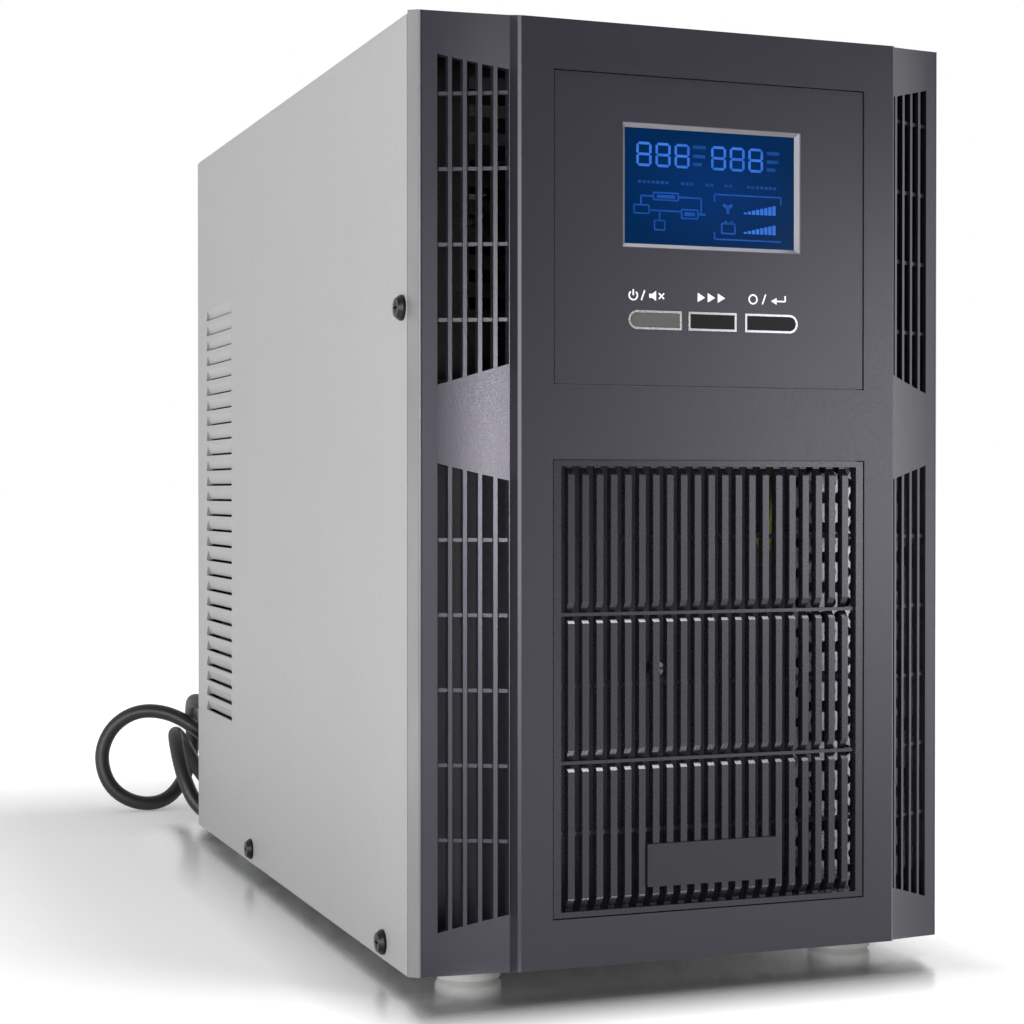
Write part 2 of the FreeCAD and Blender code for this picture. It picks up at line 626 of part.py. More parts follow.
def rear_panel():
    plate = box("rear_plate", (f"-{INNER}", INNER), (f"{BACK} - panel_gauge", BACK),
                (f"{BOTTOM} + panel_gauge", f"{TOP} - gauge"))
    y = f"({BACK} - 4)"
    through = 8
    depth = (y, f"{y} + {through}")
    tools = []
    for name, hand in (("left", -1), ("right", 1)):
        tools.append(cylinder(f"{name}_fan_hole", "fan_bore", through, f"{hand} * fan_spread", y,
                              "fan_height", "Y"))
    for k, (x, z) in enumerate(SOCKET_PLACES):
        tools.append(box(f"socket_hole_{k}", (f"{x} - socket_width / 2", f"{x} + socket_width / 2"), depth,
                         (f"{z} - socket_height / 2", f"{z} + socket_height / 2")))
    tools.append(box("slot_hole", (SLOT_PLATE[0] + 8, SLOT_PLATE[1] - 8), depth, (182, 204)))
    tools.append(box("serial_hole", (f"{SERIAL_X} - 8.5", f"{SERIAL_X} + 8.5"), depth, (188, 198)))
    tools.append(cylinder("breaker_hole", "breaker_radius + 0.3", through, BREAKER_X, y, BREAKER_Z, "Y"))
    tools.append(cylinder("gland_hole", 8, through, "gland_x", y, "gland_height", "Y"))
    tools += [cylinder(f"rear_hole_{k}", SCREW_HOLE, through, x, y, z, "Y")
              for k, (x, z) in enumerate(REAR_SCREWS)]
    sub_part("rear_panel", cut("rear_sheet", plate, tools))


# ---------------------------------------------------------------- feet and screws

def turned(name, profile, x, y, z, axis="Z"):
    """A body turned about an axis, from the (radius, height) corners of half its section."""
    body = doc.addObject("PartDesign::Body", name)
    sketch = body.newObject("Sketcher::SketchObject", f"{name}_section")
    sketch.AttachmentSupport = [(next(f for f in body.Origin.OriginFeatures if f.Role == "XZ_Plane"), "")]
    sketch.MapMode = "FlatFace"
    corners = [Vector(*point, 0) for point in profile]
    for first, last in zip(corners, corners[1:] + corners[:1]):
        sketch.addGeometry(Part.LineSegment(first, last), False)
    for k in range(len(corners)):
        sketch.addConstraint(Sketcher.Constraint("Coincident", k, 2, (k + 1) % len(corners), 1))
    turn = body.newObject("PartDesign::Revolution", f"{name}_turn")
    turn.Profile = sketch
    turn.ReferenceAxis = (sketch, ["V_Axis"])
    turn.Angle = 360
    body.Tip = turn
    body.Placement.Rotation = AXIS_TURN[axis]
    place(body, x, y, z)
    return body


def feet():
    """Four round feet, each a turned body with a softened lower edge and a recess for its screw."""
    chamfer, recess_radius, recess_depth = 1.2, 3.5, 2.0
    profile = [(0, recess_depth), (recess_radius, recess_depth), (recess_radius, 0),
               (d.foot_radius - chamfer, 0), (d.foot_radius, chamfer), (d.foot_radius, d.foot_height),
               (0, d.foot_height)]
    front = f"{JUNCTION} + 13"
    rear = f"{REAR} - foot_inset"
    for name, hand, y in (("front_left", -1, front), ("front_right", 1, front),
                          ("rear_left", -1, rear), ("rear_right", 1, rear)):
        sub_part(f"foot_{name}", turned(f"{name}_foot", profile, f"{hand} * (width / 2 - foot_inset)", y, 0))


CROSS_LENGTH = 3.6
CROSS_WIDTH = 0.8


def screw(name, x, y, z, axis, length=6, head="screw_head"):
    """A pan-head screw with a cross recess; the point is under its head, on the sheet."""
    out_x, out_y = {"X": (1, 0), "-X": (-1, 0), "Y": (0, 1), "-Y": (0, -1)}[axis]
    inward = {"X": "-X", "-X": "X", "Y": "-Y", "-Y": "Y"}[axis]
    crown = f"(0.35 * {head})"
    lift = f"(screw_proud - {crown})"
    skirt = cylinder(f"{name}_skirt", head, lift, x, y, z, axis)
    dome = cone(f"{name}_dome", head, f"0.72 * {head}", crown,
                f"({x}) + {out_x} * {lift}", f"({y}) + {out_y} * {lift}", z, axis)
    shank = cylinder(f"{name}_shank", "screw_shank", length, x, y, z, inward)
    depth = sorted((0.45, 1.05), reverse=out_x + out_y < 0)
    tools = []
    for part, wide, tall in (("a", CROSS_LENGTH, CROSS_WIDTH), ("b", CROSS_WIDTH, CROSS_LENGTH)):
        across = (-wide / 2, wide / 2)
        reach_x = [f"({x}) + {out_x} * screw_proud * {end}" if out_x else f"({x}) + {side}"
                   for end, side in zip(depth, across)]
        reach_y = [f"({y}) + {out_y} * screw_proud * {end}" if out_y else f"({y}) + {side}"
                   for end, side in zip(depth, across)]
        tools.append(box(f"{name}_cross_{part}", reach_x, reach_y,
                         (f"({z}) - {tall / 2}", f"({z}) + {tall / 2}")))
    return cut(name, fuse(f"{name}_blank", [skirt, dome, shank]), tools)


def screws():
    side = []
    for name, hand, axis in (("left", -1, "-X"), ("right", 1, "X")):
        for k, (behind, z) in enumerate(SIDE_SCREWS):
            side.append(screw(f"{name}_screw_{k}", f"{hand} * width / 2", f"{JUNCTION} + {behind}", z, axis,
                              length=3.2))
    sub_part("cover_screws", group("side_screws", side))
    small = [screw(f"rear_screw_{k}", x, BACK, z, "Y", 3, "small_head")
             for k, (x, z) in enumerate(REAR_SCREWS)]
    small += [screw(f"door_screw_{k}", x, f"{JUNCTION} - gauge", z, "-Y", 2, "small_head")
              for k, (x, z) in enumerate(DOOR_SCREWS)]
    sub_part("panel_screws", group("panel_screw_set", small))


# ---------------------------------------------------------------- inside

def batteries():
    """Two columns of two on the floor of the bay and two more above, each with its terminals."""
    places = [(column, row, 0) for column in (0, 1) for row in (0, 1)] + [(0, 0, 1), (1, 0, 1)]
    lid_height, tab_width, tab_height = 3, 6, 2.6
    for number, (column, row, layer) in enumerate(places, start=1):
        x = f"(battery_left + 0.2 + {column} * (battery_width + 0.6))"
        y = f"({JUNCTION} + battery_front + {row} * (battery_length + 1))"
        z = f"(battery_floor + {layer} * (battery_height + battery_gap))"
        top = f"({z} + battery_height)"
        case = box(f"case_{number}", (x, f"{x} + battery_width"), (y, f"{y} + battery_length"),
                   (z, f"{top} - {lid_height}"))
        lid = box(f"lid_{number}", (f"{x} + 1", f"{x} + battery_width - 1"),
                  (f"{y} + 1", f"{y} + battery_length - 1"), (f"{top} - {lid_height}", top))
        tabs = [box(f"tab_{number}_{k}", (f"{x} + {at}", f"{x} + {at + tab_width}"),
                    (f"{y} + 12", f"{y} + 13"), (top, f"{top} + {tab_height}"))
                for k, at in enumerate((8, 50))]
        sub_part(f"battery_{number}", fuse(f"battery_body_{number}", [case, lid] + tabs))


BOARD_FLOOR = "(shelf_height + gauge + post_height)"
BOARD_TOP = f"({BOARD_FLOOR} + board_gauge)"
FINS = 7
FIN_PITCH = 9


def main_board():
    sub_part("main_board", box("main_plate", ("-board_half", "board_half"),
                               (f"{JUNCTION} + 12", f"{JUNCTION} + 290"), (BOARD_FLOOR, BOARD_TOP)))


def heat_sinks():
    """Two upright plates with level fins, standing on the board."""
    span = (f"{JUNCTION} + sink_start", f"{JUNCTION} + sink_end")
    plate_gauge = 5
    for name, x in (("left", -62), ("right", 34)):
        base = box(f"{name}_sink_base", (x, x + plate_gauge), span, (BOARD_TOP, f"{BOARD_TOP} + sink_height"))
        fins = []
        for k in range(FINS):
            low = f"({BOARD_TOP} + {4 + FIN_PITCH * k})"
            fins.append(box(f"{name}_fin_{k}", (x + plate_gauge, f"{x} + fin_reach"), span,
                            (low, f"{low} + fin_gauge")))
        sub_part(f"heat_sink_{name}", fuse(f"{name}_sink", [base] + fins))


def board_parts():
    """Four capacitors, a choke and a row of relays on the board."""
    cans = [cylinder(f"can_{k}", "can_radius", "can_height", -16 + 32 * (k % 2),
                     f"{JUNCTION} + {100 + 34 * (k // 2)}", BOARD_TOP) for k in range(4)]
    sub_part("bulk_capacitors", group("cans", cans))
    sub_part("choke", torus("choke_ring", "choke_radius", "choke_tube", 0, f"{JUNCTION} + 55",
                            f"{BOARD_TOP} + choke_radius + choke_tube"))
    relays = []
    for k in range(5):
        left = f"(-70 + {k} * relay_pitch)"
        relays.append(box(f"relay_{k}", (left, f"{left} + relay_width"),
                          (f"{JUNCTION} + 250", f"{JUNCTION} + 274"),
                          (BOARD_TOP, f"{BOARD_TOP} + relay_height")))
    sub_part("relays", group("relay_set", relays))


def emi_filter():
    """A metal can on the floor behind the partition, with three lugs."""
    end = f"({JUNCTION} + 270)"
    case = box("filter_case", (50, 86), (f"{end} - 70", end), (f"{BOTTOM} + panel_gauge", 44))
    lugs = [box(f"filter_lug_{k}", (54 + 12 * k, 58 + 12 * k), (end, f"{end} + 8"), (20, 21))
            for k in range(3)]
    sub_part("emi_filter", fuse("filter", [case] + lugs))


def rounded_path(points, share=0.45):
    """Straight runs joined by tangent arcs; each arc's radius follows from its shorter run and its turn."""
    corners = [Vector(*p) for p in points]
    edges, radii = [], []
    start = corners[0]
    for before, corner, after in zip(corners, corners[1:], corners[2:]):
        inward = (corner - before).normalize()
        outward = (after - corner).normalize()
        turn = math.acos(max(-1.0, min(1.0, inward.dot(outward))))
        reach = share * min((corner - before).Length, (after - corner).Length)
        radii.append(reach / math.tan(turn / 2))
        first = corner - inward * reach
        last = corner + outward * reach
        middle_way = (outward - inward).normalize()
        sag = radii[-1] / math.cos(turn / 2) - radii[-1]
        edges.append(Part.LineSegment(start, first).toShape())
        edges.append(Part.Arc(first, corner + middle_way * sag, last).toShape())
        start = last
    edges.append(Part.LineSegment(start, corners[-1]).toShape())
    return Part.Wire(edges), radii


def tube(name, points, radius):
    """A round tube along a route, checked against its section times its length."""
    path, radii = rounded_path(points)
    heading = Vector(*points[1]) - Vector(*points[0])
    section = Part.Wire([Part.Circle(Vector(*points[0]), heading, radius).toShape()])
    solid = path.makePipeShell([section], True, True)
    expected = math.pi * radius ** 2 * path.Length
    assert abs(solid.Volume - expected) < 0.02 * expected, f"{name}: volume {solid.Volume} for {expected}"
    print(f"{name}: length {path.Length:.1f}, least radius {min(radii):.1f}, radii",
          " ".join(f"{r:.0f}" for r in radii))
    return solid


def wires():
    earth = [(33, junction_y - 3.5, 149), (33, junction_y - 7, 160), (34, junction_y - 8, 172),
             (36, junction_y - 8, 186), (44, junction_y - 6.5, 198), (52, junction_y - 4, 205)]
    lug = Part.makeCylinder(4, 2, Vector(33, junction_y - 3, 146), Vector(0, 1, 0))
    wire = tube("earth_wire", earth, 1.7)
    stud = Part.makeBox(4, 3, 8, Vector(31, junction_y - 4, 145))
    sub_part("earth_wire", shaped("earth_shape", wire.fuse(lug).fuse(stud)))
    tops = d.battery_floor + 2 * d.battery_height + 3
    y = junction_y + d.battery_front + 12.5
    leads = [tube("link", [(-34, y + 4, tops + 1.2), (-28, y + 8, tops + 2), (-20, y + 8, tops + 2.0),
                           (-14, y + 4, tops + 1.2)], 0.9),
             tube("riser", [(34, y + 60, tops + 1.5), (36, y + 75, tops + 2.2), (36, y + 92, tops + 2),
                            (33, y + 106, tops + 1.4)], 0.9)]
    sub_part("battery_leads", shaped("lead_shape", Part.makeCompound(leads)))


# ---------------------------------------------------------------- fans and rear fittings

SOCKET_PLACES = [(-60, 150), (-22, 150), (-60, 116), (-22, 116)]
BREAKER_X = 62
BREAKER_Z = 150
SERIAL_X = 9
SERIAL_Z = 193
SLOT_PLATE = (-88, -16)
SHAFT_RADIUS = 1.5
GUARD_TOP = 7.6    # how far the middle of the guard stands off the panel
BLADES = 7


def fan(name, hand):
    """Frame with four struts and a bush, a bladed rotor on its shaft, and a domed wire guard."""
    x = f"({hand} * fan_spread)"
    inner_y = f"({BACK} - panel_gauge)"
    front = f"({inner_y} - fan_depth)"
    square = box(f"{name}_square", (f"{x} - fan_size / 2", f"{x} + fan_size / 2"), (front, inner_y),
                 ("fan_height - fan_size / 2", "fan_height + fan_size / 2"))
    bore = cylinder(f"{name}_bore", "fan_bore", "fan_depth + 2", x, f"{front} - 1", "fan_height", "Y")
    corners = []
    for k, (sx, sz) in enumerate(((-1, -1), (-1, 1), (1, -1), (1, 1))):
        corners.append(cylinder(f"{name}_corner_{k}", 2.2, "fan_depth + 2", f"{x} + {sx} * fan_pitch / 2",
                                f"{front} - 1", f"fan_height + {sz} * fan_pitch / 2", "Y"))
    ring = cut(f"{name}_ring", square, [bore] + corners)
    web_y = (f"{inner_y} - strut_gauge", inner_y)
    motor = cylinder(f"{name}_motor", "hub_radius", "strut_gauge", x, web_y[0], "fan_height", "Y")
    struts = [box(f"{name}_strut_a", (f"{x} - fan_bore - 1", f"{x} + fan_bore + 1"), web_y,
                  ("fan_height - 2", "fan_height + 2")),
              box(f"{name}_strut_b", (f"{x} - 2", f"{x} + 2"), web_y,
                  ("fan_height - fan_bore - 1", "fan_height + fan_bore + 1"))]
    bush = cylinder(f"{name}_bush", f"{SHAFT_RADIUS} + hole_clearance", "strut_gauge + 2", x,
                    f"{inner_y} - strut_gauge - 1", "fan_height", "Y")
    sub_part(f"fan_frame_{name}", cut(f"{name}_frame", fuse(f"{name}_web", [ring, motor] + struts), [bush]))
    sub_part(f"fan_rotor_{name}", shaped(f"{name}_rotor", rotor_shape(hand * d.fan_spread)))
    rings = ((12, GUARD_TOP), (21, GUARD_TOP), (30, 6.2), (37.5, 3))
    parts = [torus(f"{name}_guard_{k}", radius, "guard_wire", x, f"({BACK} + {stand_off})", "fan_height")
             for k, (radius, stand_off) in enumerate(rings)]
    for k in range(4):
        parts.append(shaped(f"{name}_spoke_{k}", guard_spoke(hand * d.fan_spread, 45 + 90 * k)))
    sub_part(f"fan_guard_{name}", fuse(f"{name}_guard", parts))


def guard_spoke(x, angle):
    """A bent wire from the guard's middle ring out to a flat eye at the fan's corner."""
    out = Vector(math.cos(math.radians(angle)), 0, math.sin(math.radians(angle)))
    centre = Vector(x, back_y, d.fan_height)
    lift = Vector(0, 1, 0)
    stations = ((11, GUARD_TOP), (21, GUARD_TOP), (30, 6.2), (38, 3.0), (45, 1.0))
    points = [centre + out * radius + lift * height for radius, height in stations]
    wire = None
    for a, b in zip(points, points[1:]):
        rod = Part.makeCylinder(d.spoke_wire, (b - a).Length, a, b - a).fuse(Part.makeSphere(d.spoke_knee, b))
        wire = rod if wire is None else wire.fuse(rod)
    corner = centre + out * (d.fan_pitch / 2 * math.sqrt(2))
    eye_gauge = 1.6
    eye = Part.makeCylinder(5.2, eye_gauge, corner, lift)
    head = Part.makeCylinder(3.4, eye_gauge, corner + lift * eye_gauge, lift)
    return wire.fuse([eye, head])


def rotor_shape(x):
    """Hub, shaft and seven pitched blades, turning about Y."""
    inner_y = back_y - d.panel_gauge
    start = inner_y - d.fan_depth + 1
    length = d.fan_depth - 5.2
    along = Vector(0, 1, 0)
    centre = Vector(x, start, d.fan_height)
    hub = Part.makeCylinder(d.hub_radius, length, centre, along)
    shaft = Part.makeCylinder(SHAFT_RADIUS, length + 4, centre, along)
    blade_gauge, blade_length, pitch_angle, root = 1.3, length + 3, 38, 2
    blades = []
    for k in range(BLADES):
        blade = Part.makeBox(blade_gauge, blade_length, d.rotor_radius - d.hub_radius + root,
                             Vector(-blade_gauge / 2, -blade_length / 2, d.hub_radius - root))
        blade.rotate(Vector(0, 0, 0), Vector(0, 0, 1), pitch_angle)
        blade.rotate(Vector(0, 0, 0), Vector(0, 1, 0), 360 / BLADES * k)
        blade.translate(Vector(x, start + length / 2, d.fan_height))
        blades.append(blade)
    sweep = Part.makeCylinder(d.rotor_radius, length - 1, centre + along * 0.5, along)
    trimmed = Part.makeCompound(blades).common(sweep)
    return hub.fuse([shaft] + trimmed.Solids)


def output_socket(number, x, z):
    """An outlet with a moat round its core and three pin slots."""
    half_width = "(socket_width / 2)"
    half_height = "(socket_height / 2)"
    face_y = f"({BACK} + socket_rim)"
    moat_y = f"({BACK} - 14)"
    body = box(f"outlet_body_{number}", (f"{x} - {half_width} + 0.1", f"{x} + {half_width} - 0.1"),
               (f"{BACK} - socket_depth", face_y),
               (f"{z} - {half_height} + 0.1", f"{z} + {half_height} - 0.1"))
    rim = box(f"outlet_rim_{number}", (f"{x} - {half_width} - 2", f"{x} + {half_width} + 2"), (BACK, face_y),
              (f"{z} - {half_height} - 2", f"{z} + {half_height} + 2"))
    moat = box(f"outlet_moat_{number}", (x - 12.2, x + 12.2), (moat_y, f"{face_y} + 2"), (z - 8.4, z + 8.4))
    core = box(f"outlet_core_{number}", (x - 9.4, x + 9.4), (moat_y, f"{BACK} + 1.4"), (z - 5.6, z + 5.6))
    pins = [box(f"outlet_pin_{number}_{k}", (x + dx - 1, x + dx + 1), (f"{moat_y} + 1", f"{face_y} + 2"),
                (z + dz - 2, z + dz + 2)) for k, (dx, dz) in enumerate(((-6, -1), (0, 2), (6, -1)))]
    shell = cut(f"outlet_shell_{number}", fuse(f"outlet_blank_{number}", [body, rim]), [moat])
    whole = fuse(f"outlet_all_{number}", [shell, core])
    sub_part(f"output_socket_{number}", cut(f"outlet_{number}", whole, pins))


def input_breaker():
    """A threaded bush with its nut and body, and the reset button in its well."""
    bush = cylinder("breaker_bush", "breaker_radius", 24, BREAKER_X, f"{BACK} - 22", BREAKER_Z, "Y")
    nut = cylinder("breaker_nut", "breaker_radius + 3", 2, BREAKER_X, BACK, BREAKER_Z, "Y")
    body = box("breaker_body", (BREAKER_X - 11, BREAKER_X + 11), (f"{BACK} - 46", f"{BACK} - 20"),
               (BREAKER_Z - 15, BREAKER_Z + 15))
    well = cylinder("breaker_well", "breaker_well", 20, BREAKER_X, f"{BACK} - 12", BREAKER_Z, "Y")
    sub_part("input_breaker", cut("breaker", fuse("breaker_blank", [bush, nut, body]), [well]))
    pin = cylinder("reset_pin", "breaker_well - 0.1", 14, BREAKER_X, f"{BACK} - 10", BREAKER_Z, "Y")
    sub_part("breaker_button", pin)


def serial_port():
    """A nine-way port: flange, shell and two jack nuts."""
    face = f"({BACK} + 1)"
    flange = box("serial_flange", (SERIAL_X - 16, SERIAL_X + 16), (BACK, face), (SERIAL_Z - 6, SERIAL_Z + 6))
    block = box("serial_block", (SERIAL_X - 8, SERIAL_X + 8), (f"{BACK} - 10", face),
                (SERIAL_Z - 4.5, SERIAL_Z + 4.5))
    nose = box("serial_nose", (SERIAL_X - 7.5, SERIAL_X + 7.5), (face, f"{face} + 4"),
               (SERIAL_Z - 4, SERIAL_Z + 4))
    nuts = [cylinder(f"serial_nut_{k}", 2.3, 4, SERIAL_X + offset, face, SERIAL_Z, "Y")
            for k, offset in enumerate((-12.5, 12.5))]
    sub_part("serial_port", fuse("serial", [flange, block, nose] + nuts))


def slot_cover():
    """The blank over the expansion slot, held by two knobs."""
    face = f"({BACK} + 1)"
    plate = box("slot_plate", SLOT_PLATE, (BACK, face), (180, 206))
    knobs = [cylinder(f"slot_knob_{k}", 3.4, 3, x, face, SERIAL_Z, "Y")
             for k, x in enumerate((SLOT_PLATE[0] + 4, SLOT_PLATE[1] - 4))]
    sub_part("slot_cover", fuse("slot", [plate] + knobs))


# ---------------------------------------------------------------- mains lead

BOOT_END = (d.gland_x, back_y + 8 + d.boot_length, d.gland_height)

# The free lead: out of its boot, round a large standing loop, round a loop on the floor, over a narrow
# standing loop and along the back of the unit into the coil.
CORD_ROUTE = [
    BOOT_END,
    (-78, 224, 53), (-81, 236, 56.5), (-83, 248, 57), (-81.5, 260, 51.5), (-79.5, 268, 41), (-79, 270, 28),
    (-84, 266, 14), (-95, 259.5, 4), (-110, 260, 3.5), (-123, 263.5, 12), (-127.5, 266, 28),
    (-122, 264, 43), (-109.5, 259.5, 51.5), (-94.5, 253.5, 50.5), (-81.5, 247, 42.5), (-70, 238, 31),
    (-57, 228, 18), (-44, 219.5, 7), (-31, 215, 3.5), (-18.5, 219, 3.5), (-12, 230, 3.5), (-14, 243.5, 3.5),
    (-24, 253, 3.5), (-37, 258.5, 3.5), (-50, 260.5, 3.5), (-62, 259, 4.5), (-73, 255.5, 12),
    (-82, 250, 24), (-89, 242.5, 35.5), (-95, 232, 42.5), (-98, 219.5, 42.5), (-98.5, 209, 34),
    (-97, 201, 23), (-92.5, 195, 11), (-82, 190.5, 4), (-67, 188, 3.5), (-50, 187.5, 3.5),
    (-32, 188.5, 3.5), (-13, 190.5, 3.5), (5, 193.5, 3.5), (23, 197.5, 3.5),
    (d.coil_x + 2, d.coil_y - d.coil_turn, 3.5),
]
TAIL_ROUTE = [
    (d.coil_x, d.coil_y - d.coil_turn, 10.5), (58, 201.5, 10.5), (74, 201.5, 11), (90, 205, 12.5),
    (102, 213, 15), (109, 225, 17.2), (111, 239, 17.5),
]


def cord_gland():
    """The gland in the rear panel with the boot that the lead leaves by."""
    x, z = "gland_x", "gland_height"
    nut = cylinder("gland_nut", 10, 6, x, BACK, z, "Y")
    thread = cylinder("gland_thread", 7.6, 20, x, f"{BACK} - 14", z, "Y")
    collar = cylinder("gland_collar", 7.5, 3, x, f"{BACK} + 5.5", z, "Y")
    boot = cone("gland_boot", 6.3, 4.3, "boot_length", x, f"{BACK} + 8", z, "Y")
    sub_part("cord_gland", fuse("gland", [nut, thread, collar, boot]))


COIL_OUTER = "(coil_turn + cord_radius)"
COIL_INNER = "(coil_turn - 3 * cord_radius)"
COIL_HEIGHT = "(4 * cord_radius)"


def coil_ring(name, outer, inner, height):
    """A flat ring round the middle of the coil, on the floor."""
    disc = cylinder(f"{name}_disc", outer, height, "coil_x", "coil_y", 0)
    eye = cylinder(f"{name}_eye", inner, f"{height} + 2", "coil_x", "coil_y", -1)
    return cut(name, disc, [eye])


def cord_coil():
    sub_part("cord_coil", coil_ring("coil", COIL_OUTER, COIL_INNER, COIL_HEIGHT))


def cord_tie():
    """A strap round the coil's turns on the side away from the unit."""
    strap = 1.2
    sleeve = coil_ring("tie_sleeve", f"({COIL_OUTER} + {strap})", f"({COIL_INNER} - {strap})",
                       f"({COIL_HEIGHT} + {strap})")
    room = coil_ring("tie_room", f"({COIL_OUTER} + hole_clearance)", f"({COIL_INNER} - hole_clearance)",
                     COIL_HEIGHT)
    reach = box("tie_reach", ("coil_x - 5", "coil_x + 5"), ("coil_y", f"coil_y + {COIL_OUTER} + 5"),
                (0.2, 40))
    sub_part("cord_tie", common("tie", cut("tie_band", sleeve, [room]), reach))


def mains_plug():
    """A round moulded plug with a tapered grip and two pins, lying on the floor."""
    x, y, z = TAIL_ROUTE[-1]
    profile = [(0, 0), (4.6, 0), (7.8, 17), (9, 17), (17.2, 31), (17.2, 45), (0, 45)]
    body = turned("plug_body", profile, x, y, z, "Y")
    pins = [cylinder(f"plug_pin_{k}", 2.4, 20, x + offset, y + 44, z, "Y")
            for k, offset in enumerate((-9.5, 9.5))]
    sub_part("mains_plug", fuse("plug", [body] + pins))


# ---------------------------------------------------------------- build, test and write

def build():
    front_bezel()
    display_fascia()
    lcd()
    buttons()
    front_grille()
    outer_cover()
    base_tray()
    mid_shelf()
    battery_partition()
    battery_tray()
    front_plate()
    battery_door()
    rear_panel()
    feet()
    screws()
    batteries()
    main_board()
    heat_sinks()
    board_parts()
    emi_filter()
    wires()
    fan("left", -1)
    fan("right", 1)
    for number, (x, z) in enumerate(SOCKET_PLACES, start=1):
        output_socket(number, x, z)
    input_breaker()
    serial_port()
    slot_cover()
    cord_gland()
    sub_part("cord_run", shaped("run_tube", tube("cord_run", CORD_ROUTE, d.cord_radius)))
    sub_part("cord_tail", shaped("tail_tube", tube("cord_tail", TAIL_ROUTE, d.cord_radius)))
    cord_coil()
    cord_tie()
    mains_plug()
    doc.recompute()


def test_and_write():
    for obj in doc.Objects:
        if {"Invalid", "Error"} & set(obj.State):
            raise RuntimeError(f"{obj.Name} did not compute: {obj.State}")
    os.makedirs("parts", exist_ok=True)
    for obj in sub_parts:
        shape = obj.Shape
        if shape.isNull() or not shape.isValid() or not shape.Solids:
            raise RuntimeError(f"{obj.Label} has no valid solid")
        shape.exportStep(f"parts/{obj.Label}.step")
    print(f"{len(sub_parts)} sub-parts written")


build()
test_and_write()
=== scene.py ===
"""Looks of the tower uninterruptible power supply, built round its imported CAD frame.

+Z up, front towards -Y. Pieces, reliefs and patterns are written in millimetres and scaled by MM; the
camera, the floor and the lamps are in metres.
"""
import math

import bmesh
import bpy
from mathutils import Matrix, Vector


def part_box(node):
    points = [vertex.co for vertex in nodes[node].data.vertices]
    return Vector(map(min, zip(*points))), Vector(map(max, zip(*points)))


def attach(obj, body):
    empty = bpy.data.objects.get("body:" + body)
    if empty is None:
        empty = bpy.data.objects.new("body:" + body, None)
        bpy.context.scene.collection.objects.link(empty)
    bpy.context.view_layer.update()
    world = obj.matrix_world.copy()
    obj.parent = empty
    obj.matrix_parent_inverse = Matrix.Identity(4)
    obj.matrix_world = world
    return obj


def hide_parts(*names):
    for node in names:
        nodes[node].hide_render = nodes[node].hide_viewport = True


MM = 0.001
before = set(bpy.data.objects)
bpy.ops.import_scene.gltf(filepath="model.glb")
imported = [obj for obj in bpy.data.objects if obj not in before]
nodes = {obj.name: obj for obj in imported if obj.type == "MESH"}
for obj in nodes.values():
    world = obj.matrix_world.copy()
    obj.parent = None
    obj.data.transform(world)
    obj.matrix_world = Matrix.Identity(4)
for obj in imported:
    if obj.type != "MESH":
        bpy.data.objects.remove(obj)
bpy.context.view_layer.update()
fascia_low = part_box("display_fascia")[0]
lens_low, lens_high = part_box("lcd_window")
side_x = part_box("front_bezel")[1].x
body_y = -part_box("front_bezel")[0].y


# ---------------------------------------------------------------- camera and lead

SENSOR_WIDTH = 36
FOCAL_LENGTH = 73.6
CAMERA_PLACE = (-0.2969, -0.8026, 0.1628)
CAMERA_PITCH = 89.416
CAMERA_HEADING = -20.17


def camera():
    """At the left of the front, level with the middle of the body."""
    data = bpy.data.cameras.new("camera")
    data.sensor_width = SENSOR_WIDTH
    data.lens = FOCAL_LENGTH
    eye = bpy.data.objects.new("camera", data)
    eye.location = CAMERA_PLACE
    eye.rotation_euler = (math.radians(CAMERA_PITCH), 0, math.radians(CAMERA_HEADING))
    bpy.context.scene.collection.objects.link(eye)
    bpy.context.scene.camera = eye


CORD_RADIUS = 3.5
COIL_CENTRE = (45, 246)
BOOT_END = (-76, 213.9, 51)
CORD_ROUTE = [
    BOOT_END,
    (-78, 224, 53), (-81, 236, 56.5), (-83, 248, 57), (-81.5, 260, 51.5), (-79.5, 268, 41), (-79, 270, 28),
    (-84, 266, 14), (-95, 259.5, 4), (-110, 260, 3.5), (-123, 263.5, 12), (-127.5, 266, 28),
    (-122, 264, 43), (-109.5, 259.5, 51.5), (-94.5, 253.5, 50.5), (-81.5, 247, 42.5), (-70, 238, 31),
    (-57, 228, 18), (-44, 219.5, 7), (-31, 215, 3.5), (-18.5, 219, 3.5), (-12, 230, 3.5), (-14, 243.5, 3.5),
    (-24, 253, 3.5), (-37, 258.5, 3.5), (-50, 260.5, 3.5), (-62, 259, 4.5), (-73, 255.5, 12),
    (-82, 250, 24), (-89, 242.5, 35.5), (-95, 232, 42.5), (-98, 219.5, 42.5), (-98.5, 209, 34),
    (-97, 201, 23), (-92.5, 195, 11), (-82, 190.5, 4), (-67, 188, 3.5), (-50, 187.5, 3.5),
    (-32, 188.5, 3.5), (-13, 190.5, 3.5), (5, 193.5, 3.5), (23, 197.5, 3.5),
    (47, 202, 3.5),
]
# The coil: (turns so far, radius, height). The steps between turns take an eighth of a turn, and the one
# up to the second layer takes two.
COIL_STEPS = [
    (0, 44, 3.5), (0.875, 44, 3.5), (1, 37, 3.5), (1.875, 37, 3.5), (2, 30, 10.5),
    (2.125, 37, 10.5), (2.875, 37, 10.5), (3, 44, 10.5), (3.875, 44, 10.5),
]
COIL_POINTS_PER_TURN = 24
TAIL_ROUTE = [
    (29, 200, 10.5), (44, 196.5, 10.5), (59, 197, 10.5), (75, 199.5, 11), (90, 205, 12.5),
    (102, 213, 15), (109, 225, 17.2), (111, 239, 17.5),
]
CORD_SMOOTHNESS = 6      # fineness of the lead's round section and of its course


